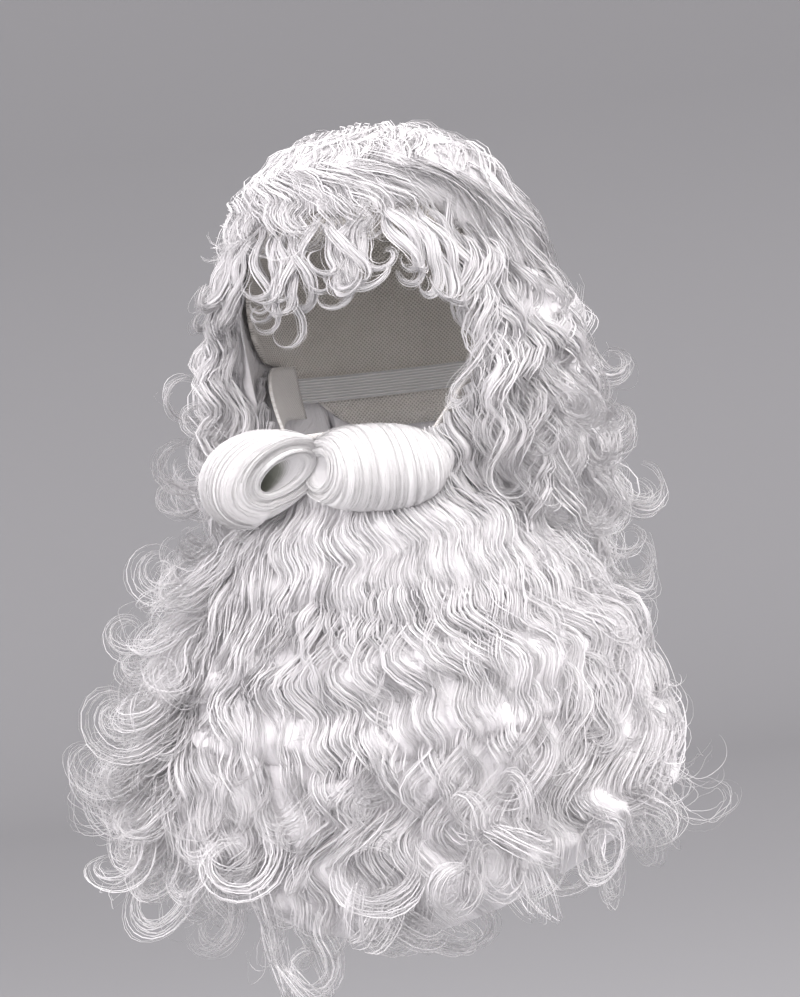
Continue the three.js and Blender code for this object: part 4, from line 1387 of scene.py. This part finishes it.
def roll_round(along):
    """A roll's thickness along it. Its outer end closes in a rounded turn."""
    past = np.clip((along - 0.93) / 0.15, 0, 1)
    return np.polyval(ROLL_ROUND, np.clip(along, 0, 1)) * np.sqrt(np.clip(1 - past**2, 0.004, 1))


# %% The rolls' skin
HOLE_ALONG = (0.5, 0.5, 0.4, 0.25, 0.1, 0.0)
HOLE_ROUND = (0.05, 0.6, 0.85, 1.0, 1.0, 1.0)
# Tints below 0 turn to the deep colour: painted shade inside the hole, darkest furthest in.
HOLE_SHADE_TINTS = (-1.4, -1.3, -1.1, -0.7, -0.3, 0.1)
COMB_TEETH = 80


def as_column(values):
    return np.array(values)[:, None]


def roll_skin(name, roll):
    """The roll's body: a hole in its inner end, a bulged scroll of an end, and its furrowed outside."""
    angle = np.linspace(0, 2 * np.pi, 56, endpoint=False)[None, :]
    hole_along = as_column(HOLE_ALONG)
    hole = on_roll(roll, hole_along, angle, ROLL_HOLE * as_column(HOLE_ROUND))
    face = np.linspace(0.06, 0.94, 12)[:, None]
    outer = wound_radius(roll, angle) * roll_round(0.0)
    coil = 0.0009 * np.sin(2 * np.pi * (3 * face + angle / (2 * np.pi)))
    end = on_roll(roll, 0.0, angle, mix(ROLL_HOLE, outer, face), end_bulge(face) + coil)
    along = np.linspace(0.0, 1.08, 90)[:, None]
    chance = np.random.default_rng(roll["seed"] + 7)
    combed = chance.uniform(-1, 1, (2, COMB_TEETH))
    at = 36 * along + 1.5 * np.sin(angle) + 3
    slow = 0.27 * at + 0.4 * np.sin(angle + 1)
    furrow = 0.00014 * np.interp(at, np.arange(COMB_TEETH), combed[0])
    furrow = furrow + 0.00016 * np.interp(slow, np.arange(COMB_TEETH), combed[1])
    outside = on_roll(roll, along, angle, wound_radius(roll, angle) * roll_round(along) + furrow)
    rings = np.concatenate([hole, end, outside])
    reach = np.broadcast_to(angle * ROLL_RADIUS, rings.shape[:2])
    lanes = np.concatenate([hole_along * 0, face * 0.8, 1 + along * 2.6])
    lanes = np.broadcast_to(lanes, rings.shape[:2])
    # Inside the hole the tint falls below 0: painted shade.
    tint_and_shade = np.concatenate([as_column(HOLE_SHADE_TINTS), 0.5 + 0 * face, 0.5 + 0 * along])
    return mesh_of_rings(name, rings, True, {"around": lanes, "reach": reach, "tint_and_shade": tint_and_shade + 0 * lanes})


# %% Hair over the rolls
def roll_locks(roll):
    """Guides laid over the roll from behind to under it, and guides wound round its open end."""
    chance = np.random.default_rng(roll["seed"])
    steps = 21
    share = np.linspace(0, 1, steps)[None, :]
    count = 84
    at = np.linspace(-0.06, 0.98, count) + either_way(chance, 0.05, count)
    along = np.clip(at[:, None] + 0.16 * (share - 0.4), 0, 1.05)
    first = np.radians(168 + either_way(chance, 14, count))[:, None]
    last = np.radians(-104 + either_way(chance, 22, count))[:, None]
    angle = mix(first, last, share)
    proud = 0.0001 + 0.0005 * chance.uniform(0, 1, count)[:, None] * np.sin(np.pi * share)
    tucked = -0.002 * (1 - smoothstep(share, 0, 0.06)) - 0.002 * smoothstep(share, 0.93, 1)
    over = on_roll(roll, along, angle, wound_radius(roll, angle) * roll_round(along) + proud + tucked)
    over_out = unit(over - roll_frame(roll, along)[0])
    rings = 34
    start = 2 * np.pi * chance.uniform(0, 1, rings)[:, None]
    sweep = start + 2 * np.pi * mix(0.6, 1.1, chance.uniform(0, 1, rings))[:, None] * share
    depth = np.clip(np.linspace(0.02, 0.98, rings)[:, None] + 0.16 * (share - 0.5), 0.0, 1.0)
    limit = wound_radius(roll, sweep) * roll_round(0.0)
    wound = on_roll(roll, 0.0, sweep, mix(ROLL_HOLE + 0.0004, limit, depth), end_bulge(depth) + 0.0012)
    tangent = roll_frame(roll, np.zeros((rings, steps)))[1]
    width = chance.uniform(0.0012, 0.0034, count)
    laid = as_locks(over, over_out[:, 0], width, width * 0.12)
    scroll = as_locks(wound, -tangent[:, 0], np.full(rings, 0.0009), np.full(rings, 0.0004))
    return joined_locks(laid, scroll)


ROLL_HAIR = {"Strands per lock": 5, "Radius": 0.00020, "Spread": 1.3, "Twist": 0.0, "Frizz": 0.0005,
             "Uneven tips": 0.08, "Tilt": 0.25, "Finish": ROLLED_HAIR}
for node, roll in ROLLS.items():
    skin = roll_skin(node + "_skin", roll)
    skin.materials.append(ROLLED_HAIR)
    plain_piece(node + "_skin", skin, node)
    inputs = {**ROLL_HAIR, "Seed": roll["seed"]}
    grown_piece(node + "_hair", roll_locks(roll), COMBED, inputs, node)

# %% [markdown]
# The wig's locks grow from the cap. Each one has a turn round the head, a depth where it starts and one where
# it ends, and how far it stands out once it hangs free.

# %% Locks on the wig
WIG_ROOT = CAP_WALL + SEAT + WEFT_WALL + 0.002
CROWN_SCALLOP = 0.007


def wig_locks(turn, drift, begin, finish, full, wave, swing, curl, turns, lean, width, steps, chance):
    """Locks that hang over the cap in spirals. All that varies from lock to lock comes as arrays."""
    count = len(turn)
    share = np.linspace(0, 1, steps)[None, :]
    at = turn[:, None] + drift[:, None] * share
    swell = np.sin(share * np.pi / 2) ** 0.5
    rise = WIG_ROOT + full[:, None] * swell
    out = skin_normal(at, CROWN_TO_TEMPLE + 0 * at)
    spine = over_cap(at, mix(begin[:, None], finish[:, None], share), rise)
    travelled = (finish - begin)[:, None] * share
    phase = travelled / wave[:, None] + chance.uniform(0, 1, count)[:, None]
    spin = np.sign(chance.uniform(-1, 1, count))[:, None]
    path = waved(spine, out, phase, spin * swing[:, None], swing[:, None])
    path = curled(path, out[:, -1], curl, turns, lean, either_way(chance, 0.3, count), CURL_STEPS)
    return as_locks(path, out[:, 0], width, width * 0.55)


# %% [markdown]
# On the forehead each curl was placed one by one, with the way its tip hooks, because they frame the face.

# %% Fringe
FRINGE_DROP = 0.092
FRINGE_CURLS = {
    "turn": (-46, -35, -23, -13, -3, 7, 18, 29, 41),
    "drift": (-5, -6, 5, 5, -3, 4, -4, 5, 6),
    "width": (1.15, 1.1, 0.75, 0.7, 0.6, 0.7, 0.85, 0.85, 1.0),
    "reach": (1.05, 0.98, 0.9, 1.04, 0.96, 0.9, 0.86, 0.9, 1.0),
    "hook": (1, 1, -1, -1, 1, -1, 1, -1, -1),
    "curl": (0.8, 0.9, 0.7, 0.6, 0.55, 0.7, 0.75, 0.7, 0.8),
}


def fringe_locks(seed):
    """Four finer locks for each curl in the table, close beside each other."""
    chance = np.random.default_rng(seed)
    table = {key: np.repeat(np.array(values, float), 4) for key, values in FRINGE_CURLS.items()}
    count = len(table["turn"])
    beside = np.tile((-4.4, -1.5, 1.4, 4.2), count // 4)
    turn = np.radians(table["turn"] + beside + either_way(chance, 1.2, count))
    begin = crown_rim(turn) + CROWN_SCALLOP + 0.002 + either_way(chance, 0.004, count)
    finish = FRINGE_DROP * table["reach"] - 0.002 + either_way(chance, 0.006, count)
    return wig_locks(
        turn=turn,
        drift=np.radians(1.6 * table["drift"]),
        begin=begin,
        finish=finish,
        full=0.007 + either_way(chance, 0.003, count),
        wave=np.full(count, 0.034),
        swing=np.full(count, 0.0028),
        curl=0.0085 * varied(chance, 0.25, count),
        turns=table["curl"] * varied(chance, 0.15, count),
        lean=np.radians(65) * table["hook"] + either_way(chance, 0.3, count),
        width=0.0058 * table["width"],
        steps=12,
        chance=chance,
    )


FRINGE_SEED = 401
FRINGE_HAIR = {"Body": 0.5, "Flatness": 0.5, "Ridges": 3, "Twist": 0.2, "Strands per lock": 20,
               "Strand radius": 0.00038, "Frizz": 0.0016, "Uneven tips": 0.2, "Loose hairs": 2,
               "Loose frizz": 0.004, "Seed": FRINGE_SEED, "Finish": CURLED_HAIR}
grown_piece("wig_fringe_locks", fringe_locks(FRINGE_SEED), LOCKS, FRINGE_HAIR, "wig_fringe")

# %% [markdown]
# Over the ears and the nape the hair hangs in ringlets to the shoulder. Under them is a sheet again, from the
# cap outwards, so that no light falls through. The first ringlets frame the face, and the last ones stand out
# furthest and reach lowest.

# %% Sides and back
SIDE_HAIR = 0.038
SIDE_DROP = 0.262
BACK_HAIR = 0.030
BACK_DROP = 0.286
SHEET_REACH = 0.86
SHEET_FULL = 0.8
HAIR_OVER = {
    "wig_side_left": {
        "turns": (-122, -61), "full": SIDE_HAIR, "drop": SIDE_DROP * SHEET_REACH, "thin": 0.4,
        "sheet": hair_sheet(7, 0.040, 0.0040, 0.0065, 0.28, 21, 0.4),
    },
    "wig_side_right": {
        "turns": (61, 122), "full": SIDE_HAIR, "drop": SIDE_DROP * SHEET_REACH, "thin": 0.4,
        "sheet": hair_sheet(7, 0.040, 0.0040, 0.0065, 0.28, 22, 0.4),
    },
    "wig_back": {
        "turns": (125, 235), "full": BACK_HAIR, "drop": BACK_DROP * SHEET_REACH, "thin": 1.0,
        "sheet": hair_sheet(11, 0.044, 0.0045, 0.0065, 0.26, 23, 0.3),
    },
}


def wig_sheet(node):
    """A sheet over the cap. thin is how full it is where it frames the face."""
    over = HAIR_OVER[node]
    sheet = over["sheet"]
    share = sheet_rows(66)
    inside = CAP_WALL + SEAT + 0.001

    def rows(columns, front):
        across = np.linspace(-1, 1, columns)[None, :]
        turn = np.radians(mix(over["turns"][0], over["turns"][1], (across + 1) / 2))
        top = crown_rim(turn) + CROWN_SCALLOP - 0.006
        drop = mix(top, over["drop"], share)
        reach = drop - top
        lane = lane_at(sheet, across, reach)
        facing = smoothstep(np.abs(turn), np.radians(61), np.radians(88))
        full = over["full"] * mix(over["thin"], 1, facing) * (0.25 + 0.75 * np.sin(share * np.pi / 2) ** 0.7)
        edge = np.sqrt(np.clip(1 - np.abs(across) ** 4, 0.01, 1)) * (1 - 0.7 * smoothstep(share, 0.84, 1))
        hair = smoothstep(share, 0, 0.1) * hair_height(sheet, lane, reach)
        rise = inside + 0.004 + full * SHEET_FULL * edge + hair
        rise = mix(inside, np.maximum(rise, inside + 0.001), end_round(share))
        place = over_cap(turn, drop, rise if front else inside + 0 * drop)
        return place, lane, reach + 0 * lane

    front, lane, reach = rows(90, True)
    behind, _, _ = rows(34, False)
    return sheet_mesh(node + "_mass", front, behind, lane, reach)


def side_locks(side, seed):
    """Ringlets over one ear, in rows from the crown's rim down."""
    chance = np.random.default_rng(seed)
    rows, across = 4, 8
    row = np.repeat(np.arange(rows), across)
    order = np.tile(np.linspace(0, 1, across), rows)
    count = rows * across
    low = row / (rows - 1)
    degrees = mix(mix(53, 59, low), mix(110, 118, low), order)
    turn = side * np.radians(degrees + either_way(chance, 3, count))
    begin = crown_rim(turn) + CROWN_SCALLOP + mix(-0.004, 0.036, low) + either_way(chance, 0.005, count)
    finish = SIDE_DROP * mix(0.60, 0.90, low) * varied(chance, 0.09, count)
    fullness = mix(mix(0.3, 0.8, np.minimum(1, 1.6 * order)), 0.92, low)
    full = SIDE_HAIR * fullness * (1 - 0.35 * chance.uniform(0, 1, count))
    return wig_locks(
        turn=turn,
        drift=side * np.radians(mix(-3, 4, order)),
        begin=begin,
        finish=finish,
        full=full,
        wave=0.040 * varied(chance, 0.2, count),
        swing=0.0060 * varied(chance, 0.35, count),
        curl=0.0110 * np.exp(either_way(chance, 0.4, count)),
        turns=0.85 * varied(chance, 0.3, count),
        lean=side * np.radians(mix(55, 0, np.minimum(1, 3 * order)) + either_way(chance, 50, count)),
        width=0.0092 * varied(chance, 0.3, count),
        steps=22,
        chance=chance,
    )


def back_locks(seed):
    """Ringlets over the back of the head and the nape."""
    chance = np.random.default_rng(seed)
    rows, across = 3, 9
    row = np.repeat(np.arange(rows), across)
    order = np.tile(np.linspace(0, 1, across), rows)
    count = rows * across
    low = row / (rows - 1)
    turn = np.radians(mix(131, 229, order) + either_way(chance, 3, count))
    return wig_locks(
        turn=turn,
        drift=np.radians(6 * (order - 0.5)),
        begin=crown_rim(turn) + CROWN_SCALLOP + mix(-0.004, 0.040, low),
        finish=BACK_DROP * mix(0.66, 0.94, low) * varied(chance, 0.05, count),
        full=BACK_HAIR * mix(0.75, 1.05, low) * (1 - 0.2 * chance.uniform(0, 1, count)),
        wave=0.044 * varied(chance, 0.12, count),
        swing=0.0060 * varied(chance, 0.25, count),
        curl=0.013 * varied(chance, 0.3, count),
        turns=0.75 * varied(chance, 0.2, count),
        lean=either_way(chance, np.radians(80), count),
        width=0.0105 * varied(chance, 0.2, count),
        steps=20,
        chance=chance,
    )


WIG_HAIR = {"Body": 0.22, "Flatness": 0.6, "Ridges": 3, "Twist": 0.7, "Strand radius": 0.00038,
            "Spread": 1.15, "Frizz": 0.0046, "Uneven tips": 0.22, "Loose hairs": 1, "Loose frizz": 0.009,
            "Finish": CURLED_HAIR}
for node, locks, amount, seed in (
    ("wig_side_left", side_locks(-1, 411), 30, 411),
    ("wig_side_right", side_locks(1, 412), 30, 412),
    ("wig_back", back_locks(413), 18, 413),
):
    plain_piece(node + "_mass", wig_sheet(node), node)
    grown_piece(node + "_locks", locks, LOCKS, {**WIG_HAIR, "Strands per lock": amount, "Seed": seed}, node)

# %% [markdown]
# On the crown the hair is combed down all round from the top. A ridged shell gives it body. Flat locks with a
# soft wave lie on it, few at the top and more lower down, as the head widens, and the last ones hang over the
# rim in small curls, where they mix with the ringlets.

# %% Crown
CROWN_HAIR = 0.015
CROWN_ROOT = CAP_WALL + SEAT
CROWN_RIDGES = 14
CROWN_LENGTH = 0.14
CROWN_WAVE = 0.038
CROWN_SEED = 421
CROWN_ROWS = ((12, 0.04), (20, 0.2), (26, 0.38), (30, 0.52), (34, 0.66), (38, 0.76))


def crown_place(turn, share, rise):
    """Points over the crown. share runs from the top to the rim, and the hair swirls a little on its way."""
    swirled = turn + np.radians(14) * np.sin(2.2 * np.pi * np.minimum(share, 1))
    return over_cap(swirled, crown_rim(swirled) * share**2, rise), swirled


def crown_shell(name):
    """A closed shell: out from the top to the rim, and back under it."""
    turn = np.linspace(0, 2 * np.pi, 140, endpoint=False)[None, :]
    share = np.linspace(0.03, 1.0, 28)[:, None]
    ridge = np.cos(CROWN_RIDGES * turn)
    scallop = 1 + 0.06 * ridge * smoothstep(share, 0.6, 1)
    groove = 0.13 * CROWN_HAIR * (1 - ridge) * smoothstep(share, 0.05, 0.35)
    comb = 0.0005 * np.sin(90 * turn + 3 * np.sin(5 * turn)) * smoothstep(share, 0.1, 0.4)
    thin = 1 - 0.45 * smoothstep(share, 0.88, 1)
    rise = CROWN_ROOT + (CROWN_HAIR * 0.8 - groove) * thin + comb
    outside, swirled = crown_place(turn, share * np.sqrt(scallop), rise)
    inside, _ = crown_place(turn, share[::-1] * np.sqrt(scallop[::-1]), CROWN_ROOT + 0 * turn)
    rings = np.concatenate([outside, inside])
    lanes = np.broadcast_to(np.abs(np.mod(turn / np.pi, 2) - 1) * 18, rings.shape[:2])
    reach = np.broadcast_to(np.concatenate([share, share[::-1]]) * CROWN_LENGTH, rings.shape[:2])
    return mesh_of_rings(name, rings, True, {"around": lanes, "reach": reach, "tint_and_shade": SHEET_TINT + 0 * lanes})


def crown_locks(seed):
    """Guides combed down from the top, in rings. Those that start lowest hang over the rim and curl."""
    chance = np.random.default_rng(seed)
    turn = [(np.arange(count) + 0.37 * k) * 2 * np.pi / count for k, (count, _) in enumerate(CROWN_ROWS)]
    turn = np.concatenate(turn)
    start = np.concatenate([np.full(count, first) for count, first in CROWN_ROWS])
    total = len(turn)
    turn = turn + either_way(chance, 0.06, total)
    start = start + 0.05 * chance.uniform(0, 1, total)
    hangs = start > 0.5
    stop = np.where(hangs, 1.14 + either_way(chance, 0.07, total), np.minimum(start + 0.62, 0.98))
    travelled = np.linspace(0, 1, 13)[None, :]
    share = mix(start[:, None], stop[:, None], travelled)
    lifted = CROWN_HAIR * 0.86 * (0.80 + 0.20 * np.sin(np.pi * np.minimum(1, travelled * 1.2)))
    lifted = lifted - 0.006 * (1 - smoothstep(travelled, 0, 0.12))
    behind = smoothstep(-np.cos(turn), -0.3, 0.4)[:, None]
    lifted = lifted + 0.017 * behind * smoothstep(share, 0.92, 1.12)
    spine, swirled = crown_place(turn[:, None], share, CROWN_ROOT + lifted)
    out = skin_normal(swirled, np.minimum(crown_rim(swirled) * share**2, CROWN_TO_TEMPLE))
    phase = share * CROWN_LENGTH / CROWN_WAVE + either_way(chance, 0.3, total)[:, None]
    path = waved(spine, out, phase, 0.0050, 0.0022)
    radius = np.where(hangs, 0.009 + either_way(chance, 0.003, total), 0.03)
    turns = np.where(hangs, 0.5 + either_way(chance, 0.2, total), 0.02)
    lean = either_way(chance, np.radians(90), total)
    path = curled(path, out[:, -1], radius, turns, lean, either_way(chance, 0.2, total), 6)
    width = 0.0035 + 0.0085 * np.minimum(1, stop) * varied(chance, 0.2, total)
    return as_locks(path, out[:, 0], width, width * 0.24)


shell = crown_shell("wig_crown_shell")
shell.materials.append(CURLED_HAIR)
plain_piece("wig_crown_shell", shell, "wig_crown")
CROWN_LAID = {"Strands per lock": 15, "Radius": 0.00042, "Spread": 1.1, "Twist": 0.0, "Frizz": 0.0014,
              "Uneven tips": 0.25, "Tilt": 0.5, "Seed": CROWN_SEED, "Finish": CURLED_HAIR}
grown_piece("wig_crown_locks", crown_locks(CROWN_SEED), COMBED, CROWN_LAID, "wig_crown")

# %% Sizes and the end
print("triangles in all:", sum(triangles_made.values()))
